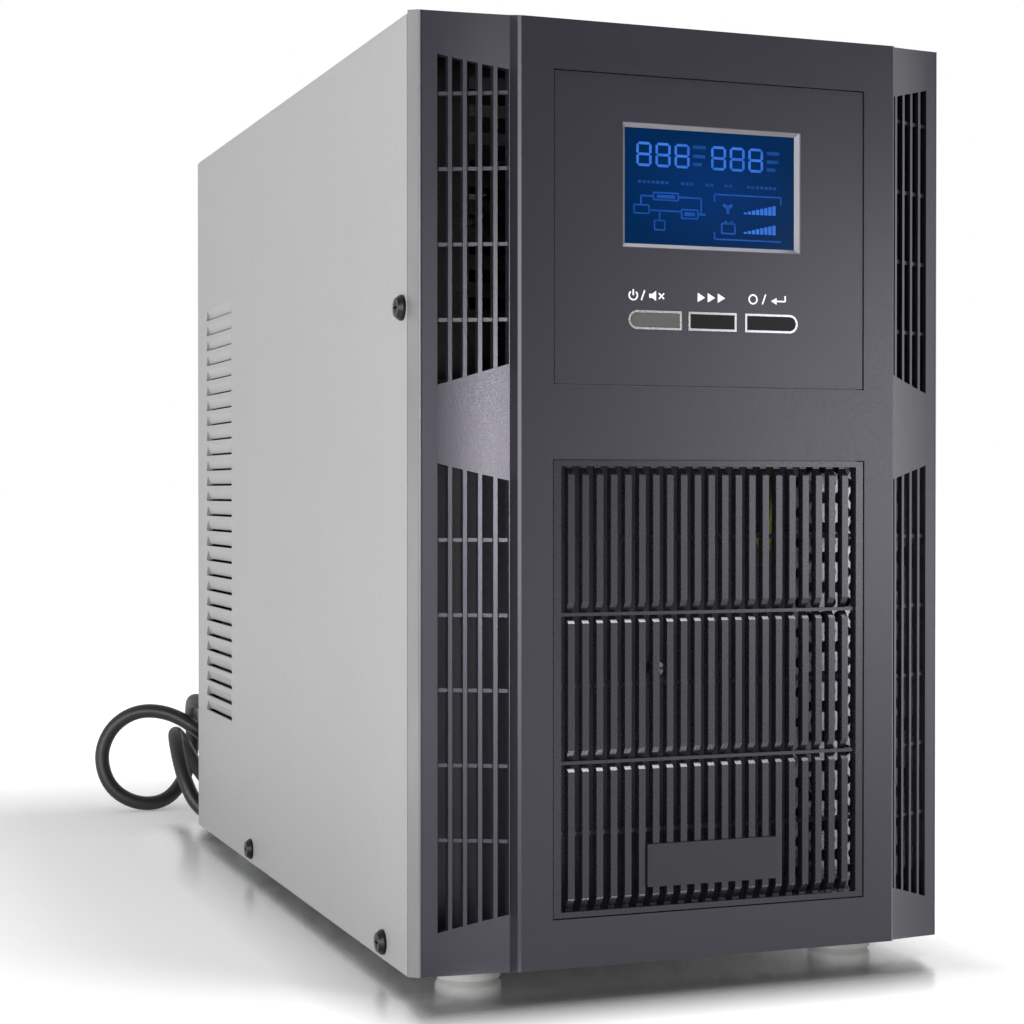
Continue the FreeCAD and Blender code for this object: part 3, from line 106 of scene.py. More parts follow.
def between(steps, at):
    """The values of a stepped list at a place between its entries."""
    for first, last in zip(steps, steps[1:]):
        if at <= last[0]:
            share = (at - first[0]) / (last[0] - first[0])
            return [a + (b - a) * share for a, b in zip(first[1:], last[1:])]
    return list(steps[-1][1:])


def coil_points():
    """The coil's turns, counter-clockwise from the side that faces the unit."""
    count = int(COIL_STEPS[-1][0] * COIL_POINTS_PER_TURN)
    # A quadratic curve passes inside its points, so they stand further out by this factor.
    swell = 1 / (0.75 + 0.25 * math.cos(2 * math.pi / COIL_POINTS_PER_TURN))
    points = []
    for k in range(1, count + 1):
        radius, height = between(COIL_STEPS, k / COIL_POINTS_PER_TURN)
        angle = 2 * math.pi * k / COIL_POINTS_PER_TURN - math.pi / 2
        points.append((COIL_CENTRE[0] + radius * swell * math.cos(angle),
                       COIL_CENTRE[1] + radius * swell * math.sin(angle), height))
    return points


def mains_cord():
    """The whole lead, from the gland's boot through the coil to the plug."""
    curve = bpy.data.curves.new("mains_cord", "CURVE")
    curve.dimensions = "3D"
    curve.bevel_depth = CORD_RADIUS * MM
    curve.bevel_resolution = CORD_SMOOTHNESS
    curve.resolution_u = CORD_SMOOTHNESS
    curve.use_fill_caps = True
    points = CORD_ROUTE + coil_points() + TAIL_ROUTE
    spline = curve.splines.new("NURBS")
    spline.points.add(len(points) - 1)
    for point, place in zip(spline.points, points):
        point.co = (*(value * MM for value in place), 1)
    spline.order_u = 3
    spline.use_endpoint_u = True
    cord = bpy.data.objects.new("mains_cord", curve)
    bpy.context.scene.collection.objects.link(cord)
    cord.data.materials.append(MATERIALS["cord_rubber"])
    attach(cord, "chassis")
    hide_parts("cord_run", "cord_coil", "cord_tail")


# ---------------------------------------------------------------- materials

def linear(colour):
    """A display colour of 0 to 255 as the light values that shaders use."""
    return [(c / 255 / 12.92 if c <= 10 else ((c / 255 + 0.055) / 1.055) ** 2.4) for c in colour]


def add(mat, kind, **values):
    """A node with the given input values; an output instead of a value is linked."""
    node = mat.node_tree.nodes.new(kind)
    for name, value in values.items():
        socket = node.inputs[name.replace("_", " ")]
        if isinstance(value, bpy.types.NodeSocket):
            mat.node_tree.links.new(value, socket)
        else:
            socket.default_value = value
    return node


def blank_material(name):
    """A material that has only its main shader so far."""
    mat = bpy.data.materials.new(name)
    mat.use_nodes = True
    return mat


def shader_of(mat):
    return mat.node_tree.nodes["Principled BSDF"]


def set_shader(mat, **values):
    """Plain values for inputs of the main shader."""
    for name, value in values.items():
        shader_of(mat).inputs[name.replace("_", " ")].default_value = value


def base_tone(mat):
    """The output that colours the main shader."""
    return shader_of(mat).inputs["Base Color"].links[0].from_socket


def link(mat, output, name):
    mat.node_tree.links.new(output, shader_of(mat).inputs[name])


def place_in(mat, stretch=(1, 1, 1)):
    """The point of the surface in the object's own frame, stretched along its axes."""
    where = mat.node_tree.nodes.new("ShaderNodeTexCoord").outputs["Object"]
    return add(mat, "ShaderNodeMapping", Vector=where, Scale=stretch).outputs["Vector"]


def noise(mat, size, detail=3.0, stretch=(1, 1, 1)):
    """Noise whose features are about this many millimetres across."""
    return add(mat, "ShaderNodeTexNoise", Vector=place_in(mat, stretch), Scale=1 / (size * MM),
               Detail=detail).outputs["Fac"]


def along(mat, axis):
    """The place along one of the object's own axes, in metres."""
    return add(mat, "ShaderNodeSeparateXYZ", Vector=place_in(mat)).outputs[axis]


def beyond(mat, value, edge, soft=0.3):
    """1 where a coordinate is past an edge given in millimetres, 0 before it."""
    start, end = (edge - soft) * MM, (edge + soft) * MM
    return add(mat, "ShaderNodeMapRange", Value=value, From_Min=start, From_Max=end).outputs["Result"]


def arithmetic(mat, operation, first, second=0.0):
    """One step of arithmetic; each value is a number or an output."""
    node = mat.node_tree.nodes.new("ShaderNodeMath")
    node.operation = operation
    for socket, value in zip(node.inputs, (first, second)):
        if isinstance(value, bpy.types.NodeSocket):
            mat.node_tree.links.new(value, socket)
        else:
            socket.default_value = value
    return node.outputs["Value"]


def vector_step(mat, operation, first, second=None):
    """One step of vector arithmetic; the second value is a plain vector."""
    node = mat.node_tree.nodes.new("ShaderNodeVectorMath")
    node.operation = operation
    mat.node_tree.links.new(first, node.inputs[0])
    if second is not None:
        node.inputs[1].default_value = second
    return node.outputs["Value" if operation == "LENGTH" else "Vector"]


def mix_colours(mat, factor, first, second):
    """The first colour at 0 and the second at 1; each a colour output."""
    node = mat.node_tree.nodes.new("ShaderNodeMix")
    node.data_type = "RGBA"
    for name, value in (("Factor_Float", factor), ("A_Color", first), ("B_Color", second)):
        socket = next(item for item in node.inputs if item.identifier == name)
        mat.node_tree.links.new(value, socket)
    return next(item for item in node.outputs if item.identifier == "Result_Color")


def spread(mat, factor, low, high, start=0.3, end=0.7):
    """A factor's middle part mapped to a range of values."""
    node = add(mat, "ShaderNodeMapRange", Value=factor, From_Min=start, From_Max=end, To_Min=low, To_Max=high)
    return node.outputs["Result"]


def blend_colours(mat, factor, dark, light, start=0.3, end=0.7):
    """A factor's middle part as a blend from a dark to a light display colour."""
    ramp = add(mat, "ShaderNodeValToRGB", Fac=factor)
    for element, place, colour in zip(ramp.color_ramp.elements, (start, end), (dark, light)):
        element.position = place
        element.color = (*linear(colour), 1)
    return ramp.outputs["Color"]


def bump(mat, height, depth):
    """Relief this many millimetres deep."""
    return add(mat, "ShaderNodeBump", Height=height, Distance=depth * MM, Strength=1.0).outputs["Normal"]


def finish(name, dark, light, roughness, metallic=0.0, mottle=40, grain=0.6, depth=0.02,
           tint=None, shine=0.5):
    """A moulded, painted or metal finish: mottled colour and gloss over a fine grain."""
    mat = blank_material(name)
    set_shader(mat, Metallic=metallic, Specular_IOR_Level=shine)
    if tint:
        set_shader(mat, Specular_Tint=(*tint, 1))
    broad = noise(mat, mottle, detail=4)
    fine = noise(mat, grain, detail=2)
    link(mat, blend_colours(mat, broad, dark, light), "Base Color")
    link(mat, spread(mat, fine, *roughness), "Roughness")
    link(mat, bump(mat, fine, depth), "Normal")
    return mat


COOL = (0.92, 0.89, 1.0)     # tint of the shine on the charcoal plastic
CHARCOAL = ((30, 28, 35), (33, 31, 38), (0.28, 0.34))
SIDE_FACE = 94.5             # distance from the middle beyond which the bezel shows its side
BEVEL_DEPTH = 0.25           # distance behind the fascia's face at which its bevel begins; the bevel is painted paler as a painted highlight
AIR_HOLES_FROM = 44          # left edge and top edge of the plate's bare zinc; elsewhere the plate is painted near-black as painted shade
AIR_HOLES_TO = 200
ZINC_METALLIC = 0.85
ZINC_CRYSTAL = 7
WEAVE = 0.7                  # size of the loops of the tie's cloth
BATTERY_RIBS = 60.0          # scales of the regular patterns; a larger one is finer
BOARD_RUNS = 180.0
WINDING_TURNS = 110.0
SLEEVE_BANDS = 90.0

FINISHES = {
    "cover_paint": ((145, 145, 145), (147, 147, 147), (0.4, 0.5), {"grain": 0.9, "depth": 0.008}),
    "grille_plastic": ((22, 21, 26), (26, 25, 30), (0.2, 0.3),
                       {"grain": 0.5, "depth": 0.008, "tint": COOL}),
    "badge_plastic": ((14, 13, 18), (17, 16, 21), (0.36, 0.44),
                      {"grain": 0.4, "depth": 0.015, "tint": COOL}),
    "button_grey": ((72, 71, 70), (80, 78, 76), (0.3, 0.4), {"mottle": 9, "depth": 0.004, "shine": 0.2}),
    "button_black": ((10, 10, 13), (13, 13, 16), (0.3, 0.4),
                     {"mottle": 8, "depth": 0.004, "shine": 0.15}),
    "trim_bright": ((150, 151, 155), (172, 173, 177), (0.2, 0.3), {"metallic": 1.0, "depth": 0.004}),
    "white_print": ((226, 227, 228), (240, 240, 240), (0.4, 0.5), {"mottle": 3, "depth": 0.004}),
    "door_paint": ((58, 58, 63), (66, 66, 71), (0.4, 0.5), {"grain": 0.8, "depth": 0.01}),
    "rear_paint": ((36, 36, 38), (43, 43, 45), (0.42, 0.54), {"grain": 0.9, "depth": 0.014}),
    "lead_red": ((120, 14, 12), (150, 22, 18), (0.35, 0.45), {"depth": 0.01}),
    "can_sleeve": ((22, 26, 40), (30, 36, 54), (0.2, 0.32), {"depth": 0.01}),
    "relay_case": ((30, 44, 90), (38, 54, 106), (0.3, 0.4), {"depth": 0.01}),
    "fan_plastic": ((24, 24, 25), (32, 32, 33), (0.36, 0.5), {"depth": 0.03}),
    "guard_wire": ((150, 152, 155), (188, 190, 193), (0.2, 0.34),
                   {"metallic": 1.0, "mottle": 12, "depth": 0.006}),
    "socket_plastic": ((22, 22, 23), (29, 29, 30), (0.34, 0.48), {"depth": 0.025}),
    "breaker_plastic": ((26, 26, 27), (34, 34, 35), (0.34, 0.48), {"depth": 0.02}),
    "reset_plastic": ((150, 24, 20), (172, 34, 28), (0.3, 0.4), {"depth": 0.01}),
    "port_metal": ((140, 142, 146), (176, 178, 182), (0.24, 0.38),
                   {"metallic": 1.0, "mottle": 8, "depth": 0.006}),
    "foot_rubber": ((168, 168, 166), (182, 182, 180), (0.55, 0.72), {"mottle": 10, "depth": 0.04}),
    "screw_black": ((24, 24, 25), (34, 34, 35), (0.3, 0.44),
                    {"metallic": 0.6, "mottle": 4, "depth": 0.008}),
    "screw_bright": ((150, 152, 155), (186, 188, 192), (0.22, 0.36),
                     {"metallic": 1.0, "mottle": 3, "depth": 0.006}),
    "cord_rubber": ((24, 25, 26), (33, 34, 35), (0.38, 0.52),
                    {"mottle": 25, "grain": 0.35, "depth": 0.02}),
    "plug_rubber": ((24, 24, 25), (32, 32, 33), (0.42, 0.56),
                    {"mottle": 18, "grain": 0.4, "depth": 0.03}),
}

# Lit parts of the display: dark colour, light colour, size of the cloudy variation
GLOWS = {
    "lcd_face": ((6, 40, 92), (9, 52, 112), 18),
    "lcd_bright": ((40, 96, 196), (54, 114, 214), 6),
    "lcd_mid": ((18, 64, 142), (28, 78, 164), 6),
    "lcd_dim": ((14, 60, 124), (20, 70, 140), 6),
}
GLASS_SHINE = 0.06


def zinc(name, dark, light, roughness):
    """Galvanised sheet with its flat crystals and a faint rolling grain."""
    mat = blank_material(name)
    set_shader(mat, Metallic=ZINC_METALLIC)
    crystals = add(mat, "ShaderNodeTexVoronoi", Vector=place_in(mat), Scale=1 / (ZINC_CRYSTAL * MM))
    tone = add(mat, "ShaderNodeSeparateColor", Color=crystals.outputs["Color"]).outputs["Red"]
    link(mat, blend_colours(mat, tone, dark, light, 0.0, 1.0), "Base Color")
    link(mat, spread(mat, tone, *roughness, 0.0, 1.0), "Roughness")
    link(mat, bump(mat, noise(mat, 0.5, stretch=(1, 1, 8)), 0.006), "Normal")
    return mat


def sheet_steel():
    return zinc("sheet_steel", (176, 178, 180), (222, 224, 226), (0.24, 0.4))


def filter_case():
    return zinc("filter_case", (150, 152, 155), (190, 192, 195), (0.25, 0.4))


def bezel_plastic():
    """Charcoal front; its side faces catch the light as a paler band."""
    mat = finish("bezel_plastic", *CHARCOAL, grain=0.55, tint=COOL)
    front_tone = base_tone(mat)
    side_tone = blend_colours(mat, noise(mat, 30), (104, 104, 105), (112, 112, 113))
    side = beyond(mat, arithmetic(mat, "ABSOLUTE", along(mat, "X")), SIDE_FACE)
    link(mat, mix_colours(mat, side, front_tone, side_tone), "Base Color")
    return mat


def fascia_plastic():
    """Charcoal fascia; the bevel that leads in to the window is painted paler, a painted highlight."""
    mat = finish("fascia_plastic", *CHARCOAL, grain=0.5, tint=COOL)
    face_tone = base_tone(mat)
    # painted highlight: the bevel faces round the window are a paler grey
    bevel_painted_highlight = blend_colours(mat, noise(mat, 15), (104, 103, 106), (112, 111, 114))
    inside = beyond(mat, along(mat, "Y"), fascia_low.y / MM + BEVEL_DEPTH, soft=0.1)
    link(mat, mix_colours(mat, inside, face_tone, bevel_painted_highlight), "Base Color")
    return mat


def front_steel():
    """Plate behind the bezel: painted near-black as painted shade, with bare zinc round the air holes on the
    right.
    """
    mat = zinc("front_steel", (150, 152, 154), (208, 210, 212), (0.26, 0.4))
    bare_tone = base_tone(mat)
    # painted shade: near-black where the plate shows through the slots of the coves
    painted_shade_tone = blend_colours(mat, noise(mat, 20), (9, 9, 10), (14, 14, 15))
    right = beyond(mat, along(mat, "X"), AIR_HOLES_FROM)
    low = arithmetic(mat, "SUBTRACT", 1.0, beyond(mat, along(mat, "Z"), AIR_HOLES_TO))
    bare = arithmetic(mat, "MULTIPLY", right, low)
    link(mat, mix_colours(mat, bare, painted_shade_tone, bare_tone), "Base Color")
    link(mat, arithmetic(mat, "MULTIPLY", bare, ZINC_METALLIC), "Metallic")
    return mat


def battery_case():
    """Dark moulded case with fine ribs."""
    mat = finish("battery_case", (34, 36, 40), (42, 44, 49), (0.4, 0.55), grain=0.5)
    ribs = add(mat, "ShaderNodeTexWave", Vector=place_in(mat), Scale=BATTERY_RIBS)
    link(mat, bump(mat, ribs.outputs["Fac"], 0.15), "Normal")
    return mat


def circuit_board():
    """Green solder mask with lighter copper runs under it."""
    mat = finish("board_green", (10, 52, 30), (16, 66, 38), (0.25, 0.4), grain=0.8)
    runs = add(mat, "ShaderNodeTexBrick", Vector=place_in(mat), Scale=BOARD_RUNS, Mortar_Size=0.03,
               Color1=(*linear((12, 60, 34)), 1), Color2=(*linear((18, 76, 44)), 1),
               Mortar=(*linear((60, 110, 62)), 1))
    link(mat, runs.outputs["Color"], "Base Color")
    return mat


def winding():
    """Close turns of enamelled copper round a ring."""
    mat = finish("winding", (120, 56, 24), (164, 84, 40), (0.2, 0.34), metallic=0.8, mottle=6)
    turns = add(mat, "ShaderNodeTexWave", Vector=place_in(mat), Scale=WINDING_TURNS)
    link(mat, bump(mat, turns.outputs["Fac"], 0.5), "Normal")
    return mat


def aluminium():
    """Extruded aluminium with lines along its length."""
    mat = finish("sink_aluminium", (150, 152, 156), (182, 184, 188), (0.28, 0.42), metallic=1.0)
    link(mat, bump(mat, noise(mat, 0.6, stretch=(4, 0.1, 4)), 0.02), "Normal")
    return mat


def earth_sleeve():
    """Green sleeve with yellow bands."""
    mat = finish("earth_sleeve", (70, 84, 30), (84, 98, 36), (0.34, 0.46), mottle=10)
    bands = add(mat, "ShaderNodeTexWave", Vector=place_in(mat, (1, 1, 0.35)), Scale=SLEEVE_BANDS)
    tone = blend_colours(mat, bands.outputs["Fac"], (72, 88, 34), (150, 156, 40), 0.42, 0.52)
    link(mat, tone, "Base Color")
    return mat


def tie_cloth():
    """Woven hook-and-loop strap."""
    mat = finish("tie_cloth", (20, 20, 22), (34, 34, 36), (0.75, 0.95), mottle=3)
    set_shader(mat, Sheen_Weight=0.4)
    loops = add(mat, "ShaderNodeTexVoronoi", Vector=place_in(mat), Scale=1 / (WEAVE * MM))
    link(mat, bump(mat, loops.outputs["Distance"], 0.15), "Normal")
    return mat


def glowing(name, dark, light, size):
    """A lit part of the display: glossy, with light that varies softly over it."""
    mat = blank_material(name)
    set_shader(mat, Emission_Strength=1.0, Roughness=0.18, Specular_IOR_Level=GLASS_SHINE)
    cloud = noise(mat, size, detail=1)
    link(mat, blend_colours(mat, cloud, [c * 0.3 for c in dark], [c * 0.3 for c in light]), "Base Color")
    link(mat, blend_colours(mat, cloud, dark, light), "Emission Color")
    return mat


def display_glass():
    """The window over the backlight: brighter in the middle, deeper blue to the edges."""
    mat = blank_material("window_clear")
    set_shader(mat, Emission_Strength=1.0, Roughness=0.16, Specular_IOR_Level=GLASS_SHINE,
               Base_Color=(*linear((0, 6, 14)), 1))
    where = mat.node_tree.nodes.new("ShaderNodeTexCoord").outputs["Object"]
    centre = (lens_low + lens_high) / 2
    half = (lens_high - lens_low) / 2
    from_middle = add(mat, "ShaderNodeMapping", Vector=where, Scale=(1 / half.x, 0, 1 / half.z),
                      Location=(-centre.x / half.x, 0, -centre.z / half.z)).outputs["Vector"]
    reach = vector_step(mat, "LENGTH", from_middle)
    link(mat, blend_colours(mat, reach, (4, 44, 102), (0, 36, 80), 0.2, 1.15), "Emission Color")
    return mat


OWN_MATERIALS = (
    sheet_steel, bezel_plastic, fascia_plastic, front_steel, battery_case, circuit_board, winding,
    aluminium, filter_case, earth_sleeve, tie_cloth, display_glass,
)


def make_materials():
    """Every material by its name, after the plain ones of the CAD are gone."""
    for plain in list(bpy.data.materials):
        bpy.data.materials.remove(plain)
    made = {name: finish(name, dark, light, roughness, **rest)
            for name, (dark, light, roughness, rest) in FINISHES.items()}
    made.update({name: glowing(name, *values) for name, values in GLOWS.items()})
    for build in OWN_MATERIALS:
        mat = build()
        made[mat.name] = mat
    return made


NODE_FINISH = {
    "cover_paint": ["outer_cover"],
    "bezel_plastic": ["front_bezel"],
    "fascia_plastic": ["display_fascia"],
    "grille_plastic": ["front_grille"],
    "badge_plastic": ["badge_plate"],
    "window_clear": ["lcd_window"],
    "lcd_face": ["lcd_module"],
    "board_green": ["display_board", "main_board"],
    "button_grey": ["on_button"],
    "button_black": ["select_button", "off_button"],
    "trim_bright": ["button_trims"],
    "front_steel": ["front_plate"],
    "sheet_steel": ["base_tray", "mid_shelf", "battery_partition", "battery_tray"],
    "rear_paint": ["rear_panel", "slot_cover"],
    "door_paint": ["battery_door"],
    "battery_case": [f"battery_{k}" for k in range(1, 7)],
    "lead_red": ["battery_leads"],
    "sink_aluminium": ["heat_sink_left", "heat_sink_right"],
    "can_sleeve": ["bulk_capacitors"],
    "winding": ["choke"],
    "relay_case": ["relays"],
    "filter_case": ["emi_filter"],
    "fan_plastic": ["fan_frame_left", "fan_frame_right", "fan_rotor_left", "fan_rotor_right"],
    "guard_wire": ["fan_guard_left", "fan_guard_right"],
    "socket_plastic": [f"output_socket_{k}" for k in range(1, 5)],
    "breaker_plastic": ["input_breaker"],
    "reset_plastic": ["breaker_button"],
    "port_metal": ["serial_port"],
    "foot_rubber": ["foot_front_left", "foot_front_right", "foot_rear_left", "foot_rear_right"],
    "screw_black": ["cover_screws"],
    "screw_bright": ["panel_screws"],
    "earth_sleeve": ["earth_wire"],
    "plug_rubber": ["cord_gland", "mains_plug"],
    "tie_cloth": ["cord_tie"],
}


def dress_nodes():
    """Every shown CAD node gets its finish."""
    for finish_name, names in NODE_FINISH.items():
        for name in names:
            nodes[name].data.materials.clear()
            nodes[name].data.materials.append(MATERIALS[finish_name])


# ---------------------------------------------------------------- flat graphics

def stroke(a, b, width):
    """A straight bar between two (x, z) points."""
    way = (Vector(b) - Vector(a)).normalized()
    side = Vector((-way.y, way.x)) * width / 2
    return [Vector(a) - side, Vector(b) - side, Vector(b) + side, Vector(a) + side]


def arc_strokes(centre, radius, width, start, end, count):
    """A ring or part of one, as short bars between two angles in degrees."""
    angles = [math.radians(start + (end - start) * k / count) for k in range(count + 1)]
    points = [(centre[0] + radius * math.cos(a), centre[1] + radius * math.sin(a)) for a in angles]
    return path_strokes(points, width)


def path_strokes(points, width):
    """Bars from each point to the next."""
    return [stroke(a, b, width) for a, b in zip(points, points[1:])]


def frame_strokes(low, high, width):
    """The outline of a rectangle."""
    (x0, z0), (x1, z1) = low, high
    return path_strokes([(x0, z0), (x1, z0), (x1, z1), (x0, z1), (x0, z0)], width)


def segment(a, b, width):
    """A display segment: a bar with pointed ends."""
    a, b = Vector(a), Vector(b)
    way = (b - a).normalized()
    side = Vector((-way.y, way.x)) * width / 2
    tip = way * width / 2
    return [a, a + tip - side, b - tip - side, b, b - tip + side, a + tip + side]


SEGMENT_GAP = 0.12


def digit(left, low, wide, tall, width):
    """All seven segments of one figure."""
    right, middle, high = left + wide, low + tall / 2, low + tall
    ends = [((left, low), (right, low)), ((left, middle), (right, middle)), ((left, high), (right, high)),
            ((left, low), (left, middle)), ((right, low), (right, middle)),
            ((left, middle), (left, high)), ((right, middle), (right, high))]
    segments = []
    for a, b in ends:
        gap = (Vector(b) - Vector(a)).normalized() * SEGMENT_GAP
        segments.append(segment(Vector(a) + gap, Vector(b) - gap, width))
    return segments


def flat_piece(name, outlines, front, depth, material):
    """Thin plates from (x, z) outlines in millimetres, with their faces towards -Y."""
    mesh = bmesh.new()
    for outline in outlines:
        rims = []
        for y in (front, front + depth * MM):
            rims.append([mesh.verts.new((p[0] * MM, y, p[1] * MM)) for p in outline])
        near, far = rims
        mesh.faces.new(near)
        mesh.faces.new(far[::-1])
        for k in range(len(outline)):
            n = (k + 1) % len(outline)
            mesh.faces.new((near[k], far[k], far[n], near[n]))
    bmesh.ops.recalc_face_normals(mesh, faces=mesh.faces)
    data = bpy.data.meshes.new(name)
    mesh.to_mesh(data)
    mesh.free()
    piece = bpy.data.objects.new(name, data)
    bpy.context.scene.collection.objects.link(piece)
    data.materials.append(MATERIALS[material])
    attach(piece, "chassis")


LCD_DEPTH = 0.06
FIGURE_GROUPS = (-26.0, 0.6)
FIGURE_STEP = 6.75
FIGURE_LOW = 267.9
FIGURE_WIDE = 4.5
FIGURE_TALL = 7.0
FIGURE_STROKE = 0.85
UNIT_MARKS = ((-6.4, (269.0, 271.6, 274.6)), (20.4, (268.6, 271.2, 274.0)))
UNIT_MARK_WIDTHS = (3.2, 4.4, 4.6)
UNIT_MARK_TALL = 1.1
STATUS_WORDS = ((-25.8, 12.0), (-10.6, 5.6), (-1.8, 3.2), (5.0, 4.6), (13.2, 11.8))
STATUS_LEVEL = 262.5
STATUS_STEP = 1.6
STATUS_MARK = 1.1
STATUS_TALL = 0.9
LOAD_MARK = (6.2, 255.4)
BLADE_LENGTH = 1.9
LEVEL_ROWS = (253.6, 247.2)
LEVEL_BARS = 8
LEVEL_LEFT = 12.6
LEVEL_STEP = 1.5
LEVEL_SHORTEST = 0.6
LEVEL_RISE = 0.36
LEVEL_WIDTH = 1.15


def lcd_piece(name, outlines, material):
    """A flat piece that stands on the window."""
    flat_piece(name, outlines, lens_low.y - LCD_DEPTH * MM, LCD_DEPTH, material)


def lcd_figures():
    """Two groups of three figures."""
    figures = []
    for start in FIGURE_GROUPS:
        for k in range(3):
            figures += digit(start + FIGURE_STEP * k, FIGURE_LOW, FIGURE_WIDE, FIGURE_TALL, FIGURE_STROKE)
    lcd_piece("lcd_figures", figures, "lcd_bright")


def lcd_small_marks():
    """Faint unit marks beside the figures and a row of status marks under them."""
    marks = []
    for x, rows in UNIT_MARKS:
        for z, wide in zip(rows, UNIT_MARK_WIDTHS):
            marks.append(stroke((x, z), (x + wide, z), UNIT_MARK_TALL))
    for left, wide in STATUS_WORDS:
        for k in range(int(wide / STATUS_STEP)):
            x = left + k * STATUS_STEP
            marks.append(stroke((x, STATUS_LEVEL), (x + STATUS_MARK, STATUS_LEVEL), STATUS_TALL))
    lcd_piece("lcd_marks", marks, "lcd_dim")


def lcd_power_flow():
    """Boxes joined by lines: supply, bypass, converter and battery."""
    lines = frame_strokes((-27.2, 252.3), (-22.0, 255.0), 0.45)
    lines += frame_strokes((-20.4, 256.9), (-11.6, 259.2), 0.5)
    lines += frame_strokes((-10.4, 251.3), (-4.6, 254.1), 0.5)
    lines += frame_strokes((-20.0, 247.2), (-16.4, 250.2), 0.45)
    lines += path_strokes([(-24.8, 255.0), (-24.8, 258.0), (-20.4, 258.0)], 0.55)
    lines += path_strokes([(-11.6, 258.0), (-3.4, 258.0), (-3.4, 252.8)], 0.55)
    lines += path_strokes([(-22.0, 253.4), (-10.4, 253.4)], 0.6)
    lines += path_strokes([(-18.2, 250.2), (-18.2, 253.4)], 0.55)
    lines += [stroke((-4.6, 252.8), (-1.8, 252.8), 0.8)]
    lines += [stroke((-19.2, 258.0), (-12.8, 258.0), 1.1), stroke((-9.4, 252.7), (-5.6, 252.7), 1.2)]
    lcd_piece("lcd_power_flow", lines, "lcd_mid")


def lcd_load_brackets():
    """Corner brackets round a load mark and a battery mark."""
    lines = path_strokes([(1.4, 257.2), (1.4, 259.6), (25.6, 259.6), (25.6, 257.2)], 0.5)
    lines += path_strokes([(1.4, 247.4), (1.4, 245.0), (25.6, 245.0)], 0.5)
    lines += frame_strokes((4.0, 247.0), (8.8, 250.2), 0.55)
    lines += [stroke((5.0, 250.8), (6.0, 250.8), 0.6), stroke((7.0, 250.8), (8.0, 250.8), 0.6)]
    for angle in (30, 150, 270):
        tip = (LOAD_MARK[0] + BLADE_LENGTH * math.cos(math.radians(angle)),
               LOAD_MARK[1] + BLADE_LENGTH * math.sin(math.radians(angle)))
        lines.append(stroke(LOAD_MARK, tip, 1.0))
    lines += arc_strokes(LOAD_MARK, 0.6, 0.6, 0, 360, 8)
    lcd_piece("lcd_brackets", lines, "lcd_mid")


def lcd_levels():
    """Two rising rows of level bars."""
    bars = []
    for base in LEVEL_ROWS:
        for k in range(LEVEL_BARS):
            x = LEVEL_LEFT + LEVEL_STEP * k
            bars.append(stroke((x, base), (x, base + LEVEL_SHORTEST + LEVEL_RISE * k), LEVEL_WIDTH))
    lcd_piece("lcd_levels", bars, "lcd_bright")


ICON_LEVEL = 225.6
ICON_RADIUS = 1.45
ICON_LINE = 0.5
ICON_THIN_LINE = 0.45
ICON_PROUD = 0.04
ICON_DEPTH = 0.05


def icon_path(points, width=ICON_LINE):
    """A line through points whose heights are measured from the middle of the icons."""
    return path_strokes([(x, ICON_LEVEL + z) for x, z in points], width)


def icon_shape(points):
    """A filled outline whose heights are measured from the middle of the icons."""
    return [[(x, ICON_LEVEL + z) for x, z in points]]


def power_sign(x):
    """An open ring with an upright bar."""
    ring = arc_strokes((x, ICON_LEVEL), ICON_RADIUS, ICON_LINE, -230, 50, 14)
    return ring + icon_path([(x, 0), (x, 1.9)])


def slash(x):
    """The stroke between two signs."""
    return icon_path([(x, -1.5), (x + 1.2, 1.7)], ICON_THIN_LINE)


def mute_sign():
    """A loudspeaker and a cross."""
    sign = icon_path([(-22.6, 0), (-21.4, 0)], 1.3)
    sign += icon_shape([(-21.6, -0.6), (-20.2, -1.6), (-20.2, 1.6), (-21.6, 0.6)])
    sign += icon_path([(-19.2, -0.9), (-17.4, 0.9)], ICON_THIN_LINE)
    return sign + icon_path([(-19.2, 0.9), (-17.4, -0.9)], ICON_THIN_LINE)


def confirm_sign():
    """An arrow that comes down and turns to the left."""
    shaft = icon_path([(26.4, 1.4), (26.4, -0.4), (22.6, -0.4)])
    return shaft + icon_shape([(23.2, -1.5), (23.2, 0.7), (21.2, -0.4)])


def button_icons():
    """Printed pictograms over the buttons: power and mute, next, and off and confirm."""
    icons = power_sign(-28.2) + slash(-25.4) + mute_sign()
    for x in (-4.2, -0.6, 3.0):
        icons += icon_shape([(x - 1.2, -1.5), (x + 1.4, 0), (x - 1.2, 1.5)])
    icons += arc_strokes((14.6, ICON_LEVEL), ICON_RADIUS, ICON_LINE, 0, 360, 16)
    icons += slash(18.0) + confirm_sign()
    front = fascia_low.y - ICON_PROUD * MM
    flat_piece("button_icons", icons, front, ICON_DEPTH, "white_print")


# ---------------------------------------------------------------- studio

FLOOR_SIZE = 200
FLOOR_SHINE = 0.9     # share of the floor's light that is a reflection, under the unit
SHINE_REACH = 0.035   # distance from the unit over which the reflection fades
# painted shadow: the floor's glow fades towards the unit, so the floor is darker round it
FLOOR_GLOW = 0.62     # light that the floor gives off far away, so that it meets the backdrop
GLOW_FROM = -0.35     # the glow grows over this range of distances from the unit, which starts below 0
GLOW_TO = 1.2         # because a little of it is wanted beside the unit already
ROOM_LIGHT = 0.5      # light of the room on matt surfaces
SHINE_FRONT = 0.2     # what glossy surfaces reflect of the room in front of the unit
SHINE_BACK = 1.0      # and of the room behind it
SHINE_BLEND = 0.35    # how far the change from one to the other reaches to each side
MIDDLE = (0, 0, 0.16)
